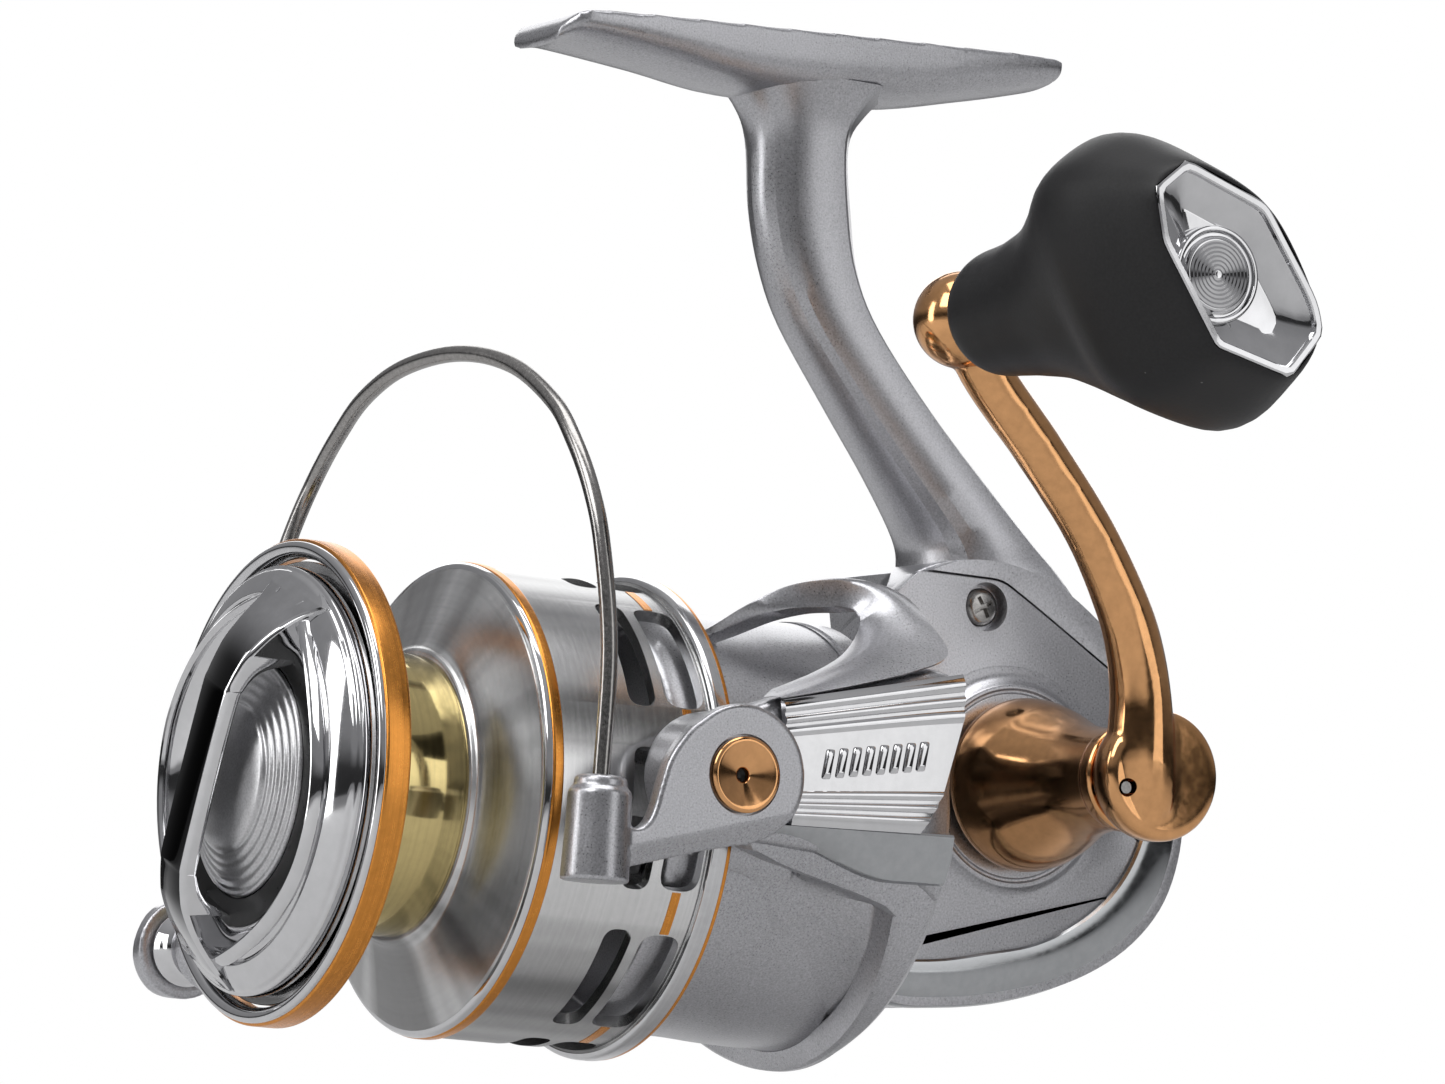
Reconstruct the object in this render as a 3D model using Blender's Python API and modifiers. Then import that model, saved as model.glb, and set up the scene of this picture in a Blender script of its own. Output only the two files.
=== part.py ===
"""Spinning reel with a front drag, built piece by piece as it comes apart on a bench.

Reel frame (all helper coordinates, millimetres): the main shaft is the Y axis, y = 0 is the front of the
spool lip and +Y runs to the rear, +X is the handle side and +Z points to the foot. The whole reel hangs
from one empty that puts the centre of the foot's flat seat at the world origin.
"""

import math

import bmesh
import bpy
from mathutils import Matrix, Vector

MM = 0.001

# Foot and its seat: the seat plane leans a little, so the shaft points at the first line guide.
SEAT_Y = 53.3
SEAT_Z = 80.3
SEAT_SLOPE = math.tan(math.radians(3.5))

# Axes
CRANK_Y = 77.3
CRANK_Z = 6.67
BAIL_Y = 33.4
BAIL_Z = 2.6
KNOB_Y = 50.3
KNOB_Z = 47.6
OSC_Y = 87.4
OSC_Z = -0.26
ROLLER_Y = 7.5
ROLLER_Z = -15.0

# Shafts and running fits
SHAFT_R = 1.75
RUNNING_GAP = 0.09
FIXED_GAP = 0.3
CRANK_SHAFT_R = 3.5
CRANK_SHAFT_THIN_R = 2.6
PINION_SLEEVE_R = 3.4
PINION_STUB_R = 2.7
PIVOT_R = 2.0

# Spool
LIP_R = 23.5
LIP_LENGTH = 3.26
ARBOR_R = 13.8
SKIRT_R = 23.0
SKIRT_BORE_R = 21.8
FLANGE_R = 23.94
SPOOL_REAR_Y = 38.2
SKIRT_SLOTS = 8
SLOT_ANGLE = 34.0
SLOT_PHASE = 41.0

# Gears: a face gear on the crank drives the pinion, which sits below the crank axis by CRANK_Z.
PINION_TEETH = 8
DRIVE_TEETH = 42
MESH_REACH = 15.96
PINION_PITCH_R = MESH_REACH * PINION_TEETH / DRIVE_TEETH
TOOTH_BACKLASH = 0.28
OSC_MODULE = 0.7
OSC_DRIVE_TEETH = 14
OSC_TEETH = 21
ECCENTRIC_R = 4.0
SLIDER_Y = OSC_Y - ECCENTRIC_R
SLIDER_HALF = 2.0
GUIDE_ROD_CENTRE = (0.4, 0, -3.7)

# Case
CASE_LEFT_X = -11.2
CASE_STEP_X = 7.6
CASE_RIGHT_X = 8.6
CASE_WALL = 1.4
COVER_X = 8.9
COVER_OUT_X = 10.2
COVER_HUB_X = 11.6
GUARD_OUT_X = 10.9

ROUND = 16
FINE_ROUND = 32
MANIFOLD_PIECES = ("body_housing", "side_cover")

BODY_PIVOTS = {
    "body": (0, 0, 0),
    "crank": (0, CRANK_Y, CRANK_Z),
    "osc_gear": (0, OSC_Y, OSC_Z),
    "rotor": (0, 0, 0),
    "shaft": (0, 0, 0),
    "spool": (0, 0, 0),
    "drag_knob": (0, 0, 0),
    "bail": (0, BAIL_Y, BAIL_Z),
    "line_roller": (0, ROLLER_Y, ROLLER_Z),
    "handle_knob": (0, KNOB_Y, KNOB_Z),
}

# Name: colour, roughness, metallic
FINISHES = {
    "silver_paint": ((0.55, 0.55, 0.57), 0.38, 0.75),
    "grey_gloss": ((0.20, 0.21, 0.22), 0.12, 0.6),
    "steel": ((0.60, 0.60, 0.60), 0.25, 1.0),
    "dark_steel": ((0.25, 0.24, 0.23), 0.3, 1.0),
    "chrome": ((0.80, 0.80, 0.82), 0.06, 1.0),
    "machined": ((0.72, 0.72, 0.73), 0.22, 1.0),
    "orange_anodised": ((0.80, 0.36, 0.08), 0.28, 1.0),
    "gold": ((0.70, 0.56, 0.26), 0.12, 1.0),
    "copper": ((0.80, 0.42, 0.18), 0.15, 1.0),
    "brass": ((0.72, 0.55, 0.22), 0.3, 1.0),
    "black_rubber": ((0.02, 0.02, 0.02), 0.6, 0.0),
    "black_plastic": ((0.02, 0.02, 0.02), 0.3, 0.0),
    "felt": ((0.25, 0.22, 0.18), 0.95, 0.0),
}


def clear_scene():
    for obj in list(bpy.data.objects):
        bpy.data.objects.remove(obj, do_unlink=True)


def make_finish(name):
    colour, roughness, metallic = FINISHES[name]
    material = bpy.data.materials.new(name)
    material.use_nodes = True
    shader = material.node_tree.nodes["Principled BSDF"]
    shader.inputs["Base Color"].default_value = (*colour, 1.0)
    shader.inputs["Roughness"].default_value = roughness
    shader.inputs["Metallic"].default_value = metallic
    return material


def make_collection(name):
    collection = bpy.data.collections.new(name)
    bpy.context.scene.collection.children.link(collection)
    return collection


def make_pivots():
    """One empty for the reel frame and, under it, one on each moving body's axis."""
    frame = bpy.data.objects.new("reel_frame", None)
    frame.location = Vector((0, -SEAT_Y, -SEAT_Z)) * MM
    reel.objects.link(frame)
    made = {}
    for body, place in BODY_PIVOTS.items():
        empty = bpy.data.objects.new(body + "_axis", None)
        empty.location = Vector(place) * MM
        empty.parent = frame
        reel.objects.link(empty)
        made[body] = empty
    return made


clear_scene()
finishes = {finish: make_finish(finish) for finish in FINISHES}
reel = make_collection("spinning_reel")
cutters = make_collection("cutters")
pivots = make_pivots()

# Columns of each matrix are where a flat outline's own x, y and normal go.
PLANES = {
    "X": Matrix(((0, 0, 1), (1, 0, 0), (0, 1, 0))).to_4x4(),
    "Y": Matrix(((1, 0, 0), (0, 0, -1), (0, 1, 0))).to_4x4(),
    "Z": Matrix.Identity(4),
}
TURNS = {"X": (0, math.pi / 2, 0), "Y": (-math.pi / 2, 0, 0), "Z": (0, 0, 0)}


def add(name, mesh, body, finish, centre=(0, 0, 0)):
    """Puts a mesh in the scene on its body's pivot. Without a body it is a cutter."""
    obj = bpy.data.objects.new(name, mesh)
    if finish:
        mesh.materials.append(finishes[finish])
        reel.objects.link(obj)
    else:
        cutters.objects.link(obj)
        obj.hide_render = True
        obj.display_type = "WIRE"
    obj.parent = pivots[body]
    obj.location = (Vector(centre) - Vector(BODY_PIVOTS[body])) * MM
    return obj


def shade(obj, angle=35):
    obj.data.shade_smooth()
    obj.data.set_sharp_from_angle(angle=math.radians(angle))
    return obj


def loop_area(profile):
    pairs = zip(profile, profile[1:] + profile[:1])
    return sum(a[0] * b[1] - b[0] * a[1] for a, b in pairs) / 2


def turned(name, profile, body, finish=None, axis="Y", centre=(0, 0, 0), steps=ROUND):
    """A closed profile of (radius, distance along the axis), turned once round the axis."""
    if loop_area(profile) > 0:
        profile = profile[::-1]
    points = [(radius * MM, 0, along * MM) for radius, along in profile]
    edges = [(i, (i + 1) % len(points)) for i in range(len(points))]
    on_axis = [i for i, (radius, _) in enumerate(profile) if radius == 0]
    edges = [edge for edge in edges if not set(edge) <= set(on_axis)]
    mesh = bpy.data.meshes.new(name)
    mesh.from_pydata(points, edges, [])
    obj = add(name, mesh, body, finish, centre)
    obj.rotation_euler = TURNS[axis]
    screw = obj.modifiers.new("turn", "SCREW")
    screw.steps = steps
    screw.render_steps = steps
    screw.use_merge_vertices = True
    screw.merge_threshold = 0.00001
    screw.use_normal_calculate = False
    screw.use_smooth_shade = True
    return obj


def tube(name, bore, radius, low, high, body, finish=None, axis="Y", centre=(0, 0, 0), steps=ROUND):
    profile = [(bore, low), (radius, low), (radius, high), (bore, high)]
    return turned(name, profile, body, finish, axis, centre, steps)


def rod(name, radius, low, high, body, finish=None, axis="Y", centre=(0, 0, 0), steps=ROUND):
    return tube(name, 0, radius, low, high, body, finish, axis, centre, steps)


def mesh_of(curve_object):
    """The curve's evaluated shape as a closed mesh; the curve is removed."""
    bpy.context.view_layer.update()
    graph = bpy.context.evaluated_depsgraph_get()
    mesh = bpy.data.meshes.new_from_object(curve_object.evaluated_get(graph))
    weld = bmesh.new()
    weld.from_mesh(mesh)
    bmesh.ops.remove_doubles(weld, verts=weld.verts, dist=0.001 * MM)
    bmesh.ops.recalc_face_normals(weld, faces=weld.faces)
    weld.to_mesh(mesh)
    weld.free()
    bpy.data.objects.remove(curve_object)
    return mesh


def prism(name, outline, low, high, body, finish=None, axis="X"):
    """A flat outline, (y, z) for axis X, (x, z) for Y and (x, y) for Z, given its thickness."""
    curve = bpy.data.curves.new(name, "CURVE")
    curve.dimensions = "2D"
    curve.fill_mode = "BOTH"
    curve.extrude = (high - low) / 2 * MM
    spline = curve.splines.new("POLY")
    spline.points.add(len(outline) - 1)
    for point, (u, v) in zip(spline.points, outline):
        point.co = (u * MM, v * MM, 0, 1)
    spline.use_cyclic_u = True
    flat = bpy.data.objects.new(name, curve)
    cutters.objects.link(flat)
    mesh = mesh_of(flat)
    middle = (high + low) / 2 * MM
    shift = Matrix.Translation((0, 0, -middle if axis == "Y" else middle))
    mesh.transform(PLANES[axis] @ shift)
    return add(name, mesh, body, finish)


def box(name, low, high, body, finish=None):
    mesh = bpy.data.meshes.new(name)
    shape = bmesh.new()
    size = Vector(high) - Vector(low)
    middle = (Vector(high) + Vector(low)) / 2
    bmesh.ops.create_cube(shape, size=1)
    bmesh.ops.scale(shape, vec=size * MM, verts=shape.verts)
    bmesh.ops.translate(shape, vec=middle * MM, verts=shape.verts)
    shape.to_mesh(mesh)
    shape.free()
    return add(name, mesh, body, finish)


def loft(name, rings, body, finish=None):
    """A skin through rings of equally many points, closed by a flat face at each end."""
    shape = bmesh.new()
    rows = [[shape.verts.new(Vector(point) * MM) for point in ring] for ring in rings]
    for row, following in zip(rows, rows[1:]):
        for i in range(len(row)):
            j = (i + 1) % len(row)
            shape.faces.new((row[i], row[j], following[j], following[i]))
    shape.faces.new(rows[0])
    shape.faces.new(rows[-1][::-1])
    bmesh.ops.recalc_face_normals(shape, faces=shape.faces)
    mesh = bpy.data.meshes.new(name)
    shape.to_mesh(mesh)
    shape.free()
    return add(name, mesh, body, finish)


def superellipse(half_u, half_v, power, count):
    """Points round a rounded rectangle: power 1 is an ellipse and smaller powers are squarer."""
    ring = []
    for i in range(count):
        turn = 2 * math.pi * (i + 0.5) / count
        c, s = math.cos(turn), math.sin(turn)
        ring.append((half_u * math.copysign(abs(c) ** power, c), half_v * math.copysign(abs(s) ** power, s)))
    return ring


def boolean(target, operation, tools):
    """The housing and its cover meet many coplanar faces, which only the Manifold solver closes cleanly."""
    for tool in tools:
        modifier = target.modifiers.new(tool.name, "BOOLEAN")
        modifier.operation = operation
        modifier.object = tool
        modifier.solver = "MANIFOLD" if target.name in MANIFOLD_PIECES else "EXACT"
    return target


def cut(target, *tools):
    return boolean(target, "DIFFERENCE", tools)


def join(target, *tools):
    return boolean(target, "UNION", tools)


def offset_outline(outline, distance):
    """The outline moved out by a distance, or in where it is negative."""
    if loop_area(outline) < 0:
        outline = outline[::-1]
    moved = []
    for i, point in enumerate(outline):
        before = Vector(outline[i - 1])
        here = Vector(point)
        after = Vector(outline[(i + 1) % len(outline)])
        first = (here - before).normalized()
        second = (after - here).normalized()
        normal = Vector((first.y + second.y, -first.x - second.x)).normalized()
        stretch = normal.dot(Vector((first.y, -first.x)))
        moved.append(tuple(here + normal * distance / stretch))
    return moved


def smooth_path(points, steps):
    """A rounded route through the points, by Catmull-Rom interpolation."""
    ends = [points[0], *points, points[-1]]
    path = []
    for group in zip(ends, ends[1:], ends[2:], ends[3:]):
        a, b, c, d = (Vector(point) for point in group)
        for i in range(steps):
            t = i / steps
            turn = 2 * a - 5 * b + 4 * c - d
            path.append((2 * b + (c - a) * t + turn * t**2 + (3 * b - a - 3 * c + d) * t**3) / 2)
    path.append(Vector(points[-1]))
    return path


def wire(name, points, radius, body, finish, resolution=2):
    curve = bpy.data.curves.new(name, "CURVE")
    curve.dimensions = "3D"
    curve.bevel_depth = radius * MM
    curve.bevel_resolution = resolution
    curve.use_fill_caps = True
    spline = curve.splines.new("POLY")
    spline.points.add(len(points) - 1)
    for point, place in zip(spline.points, points):
        point.co = (*(Vector(place) * MM), 1)
    obj = bpy.data.objects.new(name, curve)
    cutters.objects.link(obj)
    return shade(add(name, mesh_of(obj), body, finish))


def gear_outline(teeth, root, tip, root_share, tip_share):
    """A spur gear's outline: each tooth takes root_share of its pitch at the root and tip_share at the tip."""
    outline = []
    pitch = 2 * math.pi / teeth
    for tooth in range(teeth):
        middle = tooth * pitch
        for radius, share in ((root, -root_share), (tip, -tip_share), (tip, tip_share), (root, root_share)):
            turn = middle + share * pitch / 2
            outline.append((radius * math.cos(turn), radius * math.sin(turn)))
    return outline


def shifted(outline, u, v):
    return [(a + u, b + v) for a, b in outline]


def rotate_outline(outline, turn):
    c, s = math.cos(turn), math.sin(turn)
    return [(c * u - s * v, s * u + c * v) for u, v in outline]


# ---------------------------------------------------------------- body and foot

CASE_OUTLINE = [
    (56.8, -10.5), (59.5, -14.0), (66.0, -16.2), (73.0, -15.9), (80.0, -14.6), (87.0, -12.2),
    (92.8, -8.7), (96.8, -4.2), (98.7, 1.0), (98.9, 6.5), (97.2, 13.5), (93.8, 19.0),
    (88.5, 23.8), (82.0, 27.8), (75.0, 29.4), (69.0, 28.6), (63.8, 25.2), (60.6, 18.8),
    (58.0, 14.8), (56.8, 12.8),
]
SCREW_PLACES = {"top": (73.6, 24.4), "front": (60.8, -8.6), "rear": (94.4, 4.8)}
COVER_SCREW_R = 1.0
BOSS_R = 2.3
# Height: front edge, rear edge and half thickness of the stem
STEM_SECTIONS = [
    (24.0, 69.5, 90.0, 8.4), (26.0, 69.9, 88.7, 8.1), (29.0, 70.4, 85.8, 7.5), (32.0, 69.6, 82.5, 6.8),
    (37.6, 65.3, 77.1, 5.8), (44.0, 59.9, 70.8, 4.9), (51.5, 53.9, 64.4, 4.3), (57.0, 51.1, 61.4, 4.1),
    (63.0, 49.4, 60.1, 4.0), (70.0, 48.6, 59.2, 4.5), (73.4, 46.4, 61.4, 5.4), (76.0, 43.0, 64.5, 6.3),
]
# Distance along the foot: drop below the seat plane, thickness at the edge and in the middle, half width
FOOT_SECTIONS = [
    (23.4, 1.9, 0.8, 1.4, 4.6), (24.6, 0.8, 0.9, 2.3, 5.8), (26.4, 0.0, 1.0, 3.1, 6.5),
    (36.0, 0.0, 1.6, 4.6, 6.8), (46.0, 0.0, 2.6, 6.2, 6.8), (62.0, 0.0, 2.6, 6.2, 6.8),
    (73.0, 0.0, 1.6, 4.5, 6.6), (80.6, 0.0, 1.0, 2.9, 5.9), (82.0, 0.4, 0.9, 2.0, 5.0),
]


def seat_height(y):
    return SEAT_Z + (y - SEAT_Y) * SEAT_SLOPE


def stem_rings():
    rings = []
    for z, front, rear, half in STEM_SECTIONS:
        ring = superellipse((rear - front) / 2, half, 0.8, 16)
        rings.append([(v, (front + rear) / 2 + u, z) for u, v in ring])
    return rings


def foot_rings():
    rings = []
    for y, drop, edge, middle, half in FOOT_SECTIONS:
        top = seat_height(y) - drop
        flank = edge + 0.75 * (middle - edge)
        section = [
            (-half, top), (half, top), (half, top - edge), (half * 0.6, top - flank), (0, top - middle),
            (-half * 0.6, top - flank), (-half, top - edge),
        ]
        rings.append([(x, y, z) for x, z in section])
    return rings


def build_housing():
    housing = prism("body_housing", CASE_OUTLINE, CASE_LEFT_X, CASE_STEP_X, "body", "silver_paint")
    inner_case = offset_outline(CASE_OUTLINE, -CASE_WALL)
    stepped = offset_outline(CASE_OUTLINE, -1.5)
    cavity = offset_outline(CASE_OUTLINE, -1.5 - CASE_WALL + 0.1)
    left_bore = CRANK_SHAFT_THIN_R + 0.5
    join(
        housing,
        prism("case_step", stepped, CASE_STEP_X - 1, CASE_RIGHT_X, "body"),
        loft("stem", stem_rings(), "body"),
        loft("foot", foot_rings(), "body"),
        rod("nose_boss", 8.6, 50.4, 58.0, "body", steps=32),
        rod("left_boss", 7.4, -13.0, -11.0, "body", axis="X", centre=(0, CRANK_Y, CRANK_Z)),
    )
    cut(
        housing,
        prism("case_cavity", inner_case, CASE_LEFT_X + 1.4, CASE_STEP_X - 0.7, "body"),
        prism("case_mouth", cavity, CASE_STEP_X - 1, CASE_RIGHT_X + 1, "body"),
        rod("nose_bore", 7.0, 49.0, 56.6, "body", steps=32),
        rod("nose_passage", 4.4, 49.0, 59.0, "body"),
        rod("left_seat", 6.3, -12.2, -9.0, "body", axis="X", centre=(0, CRANK_Y, CRANK_Z)),
        rod("left_passage", left_bore, -14.0, -9.0, "body", axis="X", centre=(0, CRANK_Y, CRANK_Z)),
    )
    axle = (0, OSC_Y, OSC_Z)
    join(
        housing,
        box("pinion_bracket", (-10.2, 66.9, -4.6), (1.8, 69.7, 4.6), "body"),
        rod("pinion_seat", 4.7, 66.9, 69.7, "body"),
        box("rod_bracket_front", (-10.2, 76.6, -5.4), (2.2, 79.0, -2.1), "body"),
        box("rod_bracket_rear", (-3.4, 94.2, -6.4), (2.2, 95.5, -2.1), "body"),
        rod("axle_boss", 2.6, -10.2, -8.7, "body", axis="X", centre=axle),
        rod("oscillation_axle", 1.5, -9.0, -5.2, "body", axis="X", centre=axle),
    )
    for place, (y, z) in SCREW_PLACES.items():
        low_x = CASE_STEP_X - 0.6
        join(housing, rod("boss_" + place, BOSS_R, low_x, CASE_RIGHT_X, "body", axis="X", centre=(0, y, z)))
    for place, (y, z) in SCREW_PLACES.items():
        hole_r = COVER_SCREW_R + FIXED_GAP
        cut(housing, rod("tap_" + place, hole_r, 5.0, 10.0, "body", axis="X", centre=(0, y, z), steps=12))
    cut(
        housing,
        rod("support_bore", 3.9, 66.0, 70.5, "body"),
        rod("rod_bore_front", 1.3, 75.0, 81.0, "body", centre=GUIDE_ROD_CENTRE, steps=12),
        rod("rod_bore_rear", 1.3, 93.8, 95.2, "body", centre=GUIDE_ROD_CENTRE, steps=12),
    )
    return shade(housing)


def build_side_cover():
    outline = offset_outline(CASE_OUTLINE, -1.5)
    cover = prism("side_cover", outline, COVER_X, COVER_OUT_X, "body", "silver_paint")
    crank = (0, CRANK_Y, CRANK_Z)
    join(cover, rod("cover_hub", 10.4, COVER_OUT_X - 0.5, COVER_HUB_X, "body", axis="X", centre=crank, steps=32))
    cut(
        cover,
        rod("cover_seat", 6.3, 7.0, 10.8, "body", axis="X", centre=crank),
        rod("cover_passage", 4.6, 7.0, 13.0, "body", axis="X", centre=crank),
    )
    hole_r = COVER_SCREW_R + FIXED_GAP
    for place, (y, z) in SCREW_PLACES.items():
        centre = (0, y, z)
        cut(
            cover,
            rod("cover_hole_" + place, hole_r, 8.0, 10.0, "body", axis="X", centre=centre, steps=12),
            rod("cover_recess_" + place, 2.4, COVER_OUT_X - 0.8, 12.0, "body", axis="X", centre=centre),
        )
    return shade(cover)


def build_guard():
    """The glossy band that wraps the cover's lower and rear edge."""
    guard = prism("body_guard", CASE_OUTLINE, CASE_STEP_X + FIXED_GAP, GUARD_OUT_X, "body", "grey_gloss")
    inner = offset_outline(CASE_OUTLINE, -1.5 + FIXED_GAP)
    seam = [
        (50.0, -11.6), (67.0, -11.6), (75.6, -10.2), (81.4, -8.8), (87.0, -5.9), (91.0, -2.0), (93.4, 3.0),
        (94.0, 9.0), (92.8, 14.0), (110.0, 16.0), (110.0, 40.0), (50.0, 40.0),
    ]
    face_gap = COVER_OUT_X + FIXED_GAP
    cut(
        guard,
        prism("guard_inside", inner, CASE_STEP_X - 1, face_gap, "body"),
        prism("guard_seam", seam, CASE_STEP_X - 1, GUARD_OUT_X + 1, "body"),
        box("guard_front", (0, 50, -20), (20, 60.0, 0), "body"),
    )
    return shade(guard)


def screw_profile(shank, head, low, seat, top):
    return [(0, low), (shank, low), (shank, seat), (head, seat), (head, top - 0.3), (head * 0.8, top), (0, top)]


def build_cover_screws():
    for place, (y, z) in SCREW_PLACES.items():
        profile = screw_profile(COVER_SCREW_R, 2.0, 7.0, COVER_OUT_X - 0.5, COVER_OUT_X + 0.1)
        screw = turned("cover_screw_" + place, profile, "body", "dark_steel", "X", (0, y, z))
        slot = box("drive_slot_" + place, (9.9, y - 1.2, z - 0.25), (11.5, y + 1.2, z + 0.25), "body")
        shade(cut(screw, slot))


def build_body_inside():
    crank = (0, CRANK_Y, CRANK_Z)
    right_bore = CRANK_SHAFT_R + RUNNING_GAP
    left_bore = CRANK_SHAFT_THIN_R + RUNNING_GAP
    tube("crank_bearing_right", right_bore, 6.0, 7.8, 10.5, "body", "steel", "X", crank)
    tube("crank_bearing_left", left_bore, 6.0, -11.9, -9.3, "body", "steel", "X", crank)
    tube("pinion_bearing", PINION_SLEEVE_R + RUNNING_GAP + 0.01, 6.7, 53.0, 56.3, "body", "steel")
    tube("pinion_bushing", PINION_STUB_R + RUNNING_GAP + 0.01, 3.6, 67.1, 69.5, "body", "brass")
    tube("anti_reverse_clutch", 4.7, 8.2, 44.0, 50.1, "body", "steel", steps=20)
    rod("guide_rod", 1.0, 76.8, 94.9, "body", "steel", centre=GUIDE_ROD_CENTRE, steps=12)
    cap = [(0, -14.8), (6.2, -14.8), (7.0, -14.2), (7.0, -13.3), (0, -13.3)]
    shade(turned("left_cap", cap, "body", "copper", "X", crank, 32))


# ---------------------------------------------------------------- crank, handle and its knob


def face_teeth_gaps(phase):
    """Straight grooves between the face gear's teeth, each one tangent to a circle of radius CRANK_Z."""
    shape = bmesh.new()
    floor_x, mouth_x = 3.95, 2.3
    pitch = 2 * math.pi / DRIVE_TEETH
    arc = MESH_REACH * pitch
    floor_half = arc * 0.20 + TOOTH_BACKLASH / 2
    mouth_half = arc * 0.37 + TOOTH_BACKLASH / 2
    near, far = MESH_REACH - 3.2, MESH_REACH + 3.2
    for tooth in range(DRIVE_TEETH):
        turn = Matrix.Rotation(phase + tooth * pitch, 4, "X")
        corners = []
        for x, half in ((floor_x, floor_half), (mouth_x, mouth_half)):
            for along, side in ((-near, -half), (-far, -half), (-far, half), (-near, half)):
                corners.append(shape.verts.new(turn @ Vector((x, along, side - CRANK_Z)) * MM))
        for face in ((0, 1, 2, 3), (4, 7, 6, 5), (0, 4, 5, 1), (1, 5, 6, 2), (2, 6, 7, 3), (3, 7, 4, 0)):
            shape.faces.new([corners[i] for i in face])
    bmesh.ops.recalc_face_normals(shape, faces=shape.faces)
    mesh = bpy.data.meshes.new("face_teeth_gaps")
    shape.to_mesh(mesh)
    shape.free()
    return add("face_teeth_gaps", mesh, "crank", None, (0, CRANK_Y, CRANK_Z))


def build_drive():
    crank = (0, CRANK_Y, CRANK_Z)
    blank = [
        (CRANK_SHAFT_R + FIXED_GAP, 2.5), (6.0, 2.5), (6.0, 5.2), (14.2, 5.2), (14.2, 3.9), (15.4, 2.5),
        (18.5, 2.5), (18.5, 6.6), (CRANK_SHAFT_R + FIXED_GAP, 6.6),
    ]
    gear = turned("drive_gear", blank, "crank", "brass", "X", crank, DRIVE_TEETH)
    shade(cut(gear, face_teeth_gaps(0.0)))
    shaft = [
        (0, -12.8), (CRANK_SHAFT_THIN_R, -12.8), (CRANK_SHAFT_THIN_R, -2.5), (CRANK_SHAFT_R, -2.0),
        (CRANK_SHAFT_R, 15.2), (0, 15.2),
    ]
    shade(turned("crank_shaft", shaft, "crank", "steel", "X", crank))
    pitch_r = OSC_MODULE * OSC_DRIVE_TEETH / 2
    small = gear_outline(OSC_DRIVE_TEETH, pitch_r - 0.75, pitch_r + 0.52, 0.62, 0.24)
    drive = prism("oscillation_drive_gear", shifted(small, CRANK_Y, CRANK_Z), -8.2, -5.7, "crank", "brass")
    cut(drive, rod("drive_bore", CRANK_SHAFT_THIN_R + FIXED_GAP, -9, -5, "crank", axis="X", centre=crank))


def build_oscillation_gear():
    """Meshes with the small gear at rest: a gap of this gear faces a tooth of the other."""
    pitch_r = OSC_MODULE * OSC_TEETH / 2
    outline = gear_outline(OSC_TEETH, pitch_r - 0.75, pitch_r + 0.52, 0.62, 0.24)
    line = math.atan2(OSC_Z - CRANK_Z, OSC_Y - CRANK_Y)
    small_pitch = 2 * math.pi / OSC_DRIVE_TEETH
    pitch = 2 * math.pi / OSC_TEETH
    small_phase = (line / small_pitch) % 1.0
    turn = line + math.pi + (small_phase + 0.5) * pitch
    placed = shifted(rotate_outline(outline, turn), OSC_Y, OSC_Z)
    gear = prism("oscillation_gear", placed, -8.2, -5.7, "osc_gear", "brass")
    axle = (0, OSC_Y, OSC_Z)
    pin = (0, OSC_Y - ECCENTRIC_R, OSC_Z)
    cut(gear, rod("osc_bore", 1.5 + RUNNING_GAP, -9, -5, "osc_gear", axis="X", centre=axle))
    join(gear, rod("eccentric_pin", 1.2, -6.0, -4.35, "osc_gear", axis="X", centre=pin))
    shade(gear)


HUB_LOW_X = 33.6
HUB_HIGH_X = 40.6
HUB_R = 6.4
BALL_X = 39.8
BALL_R = 4.7
# Arm centre line: x, y, z, half width across and half thickness along X
ARM_SECTIONS = [
    (37.0, CRANK_Y, CRANK_Z, 5.6, 3.4), (37.3, 75.8, 13.9, 4.0, 2.8), (38.0, 71.3, 23.1, 2.8, 2.3),
    (38.5, 66.8, 29.5, 2.5, 2.1), (39.0, 60.2, 36.5, 2.5, 2.1), (39.5, 54.0, 42.4, 2.6, 2.2),
    (BALL_X, KNOB_Y, KNOB_Z, 2.9, 2.5),
]


def arm_rings():
    places = [Vector(section[:3]) for section in ARM_SECTIONS]
    rings = []
    for i, (x, y, z, half_width, half_thick) in enumerate(ARM_SECTIONS):
        before = places[max(i - 1, 0)]
        after = places[min(i + 1, len(places) - 1)]
        along = (after - before).normalized()
        across = along.cross(Vector((1, 0, 0))).normalized()
        outward = across.cross(along)
        ring = superellipse(half_width, half_thick, 0.9, 12)
        rings.append([places[i] + across * u + outward * v for u, v in ring])
    return rings


def ball_profile(radius, count):
    turns = [math.pi * i / count for i in range(count + 1)]
    profile = [(round(radius * math.sin(turn), 6), radius * math.cos(turn)) for turn in turns]
    return profile


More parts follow.
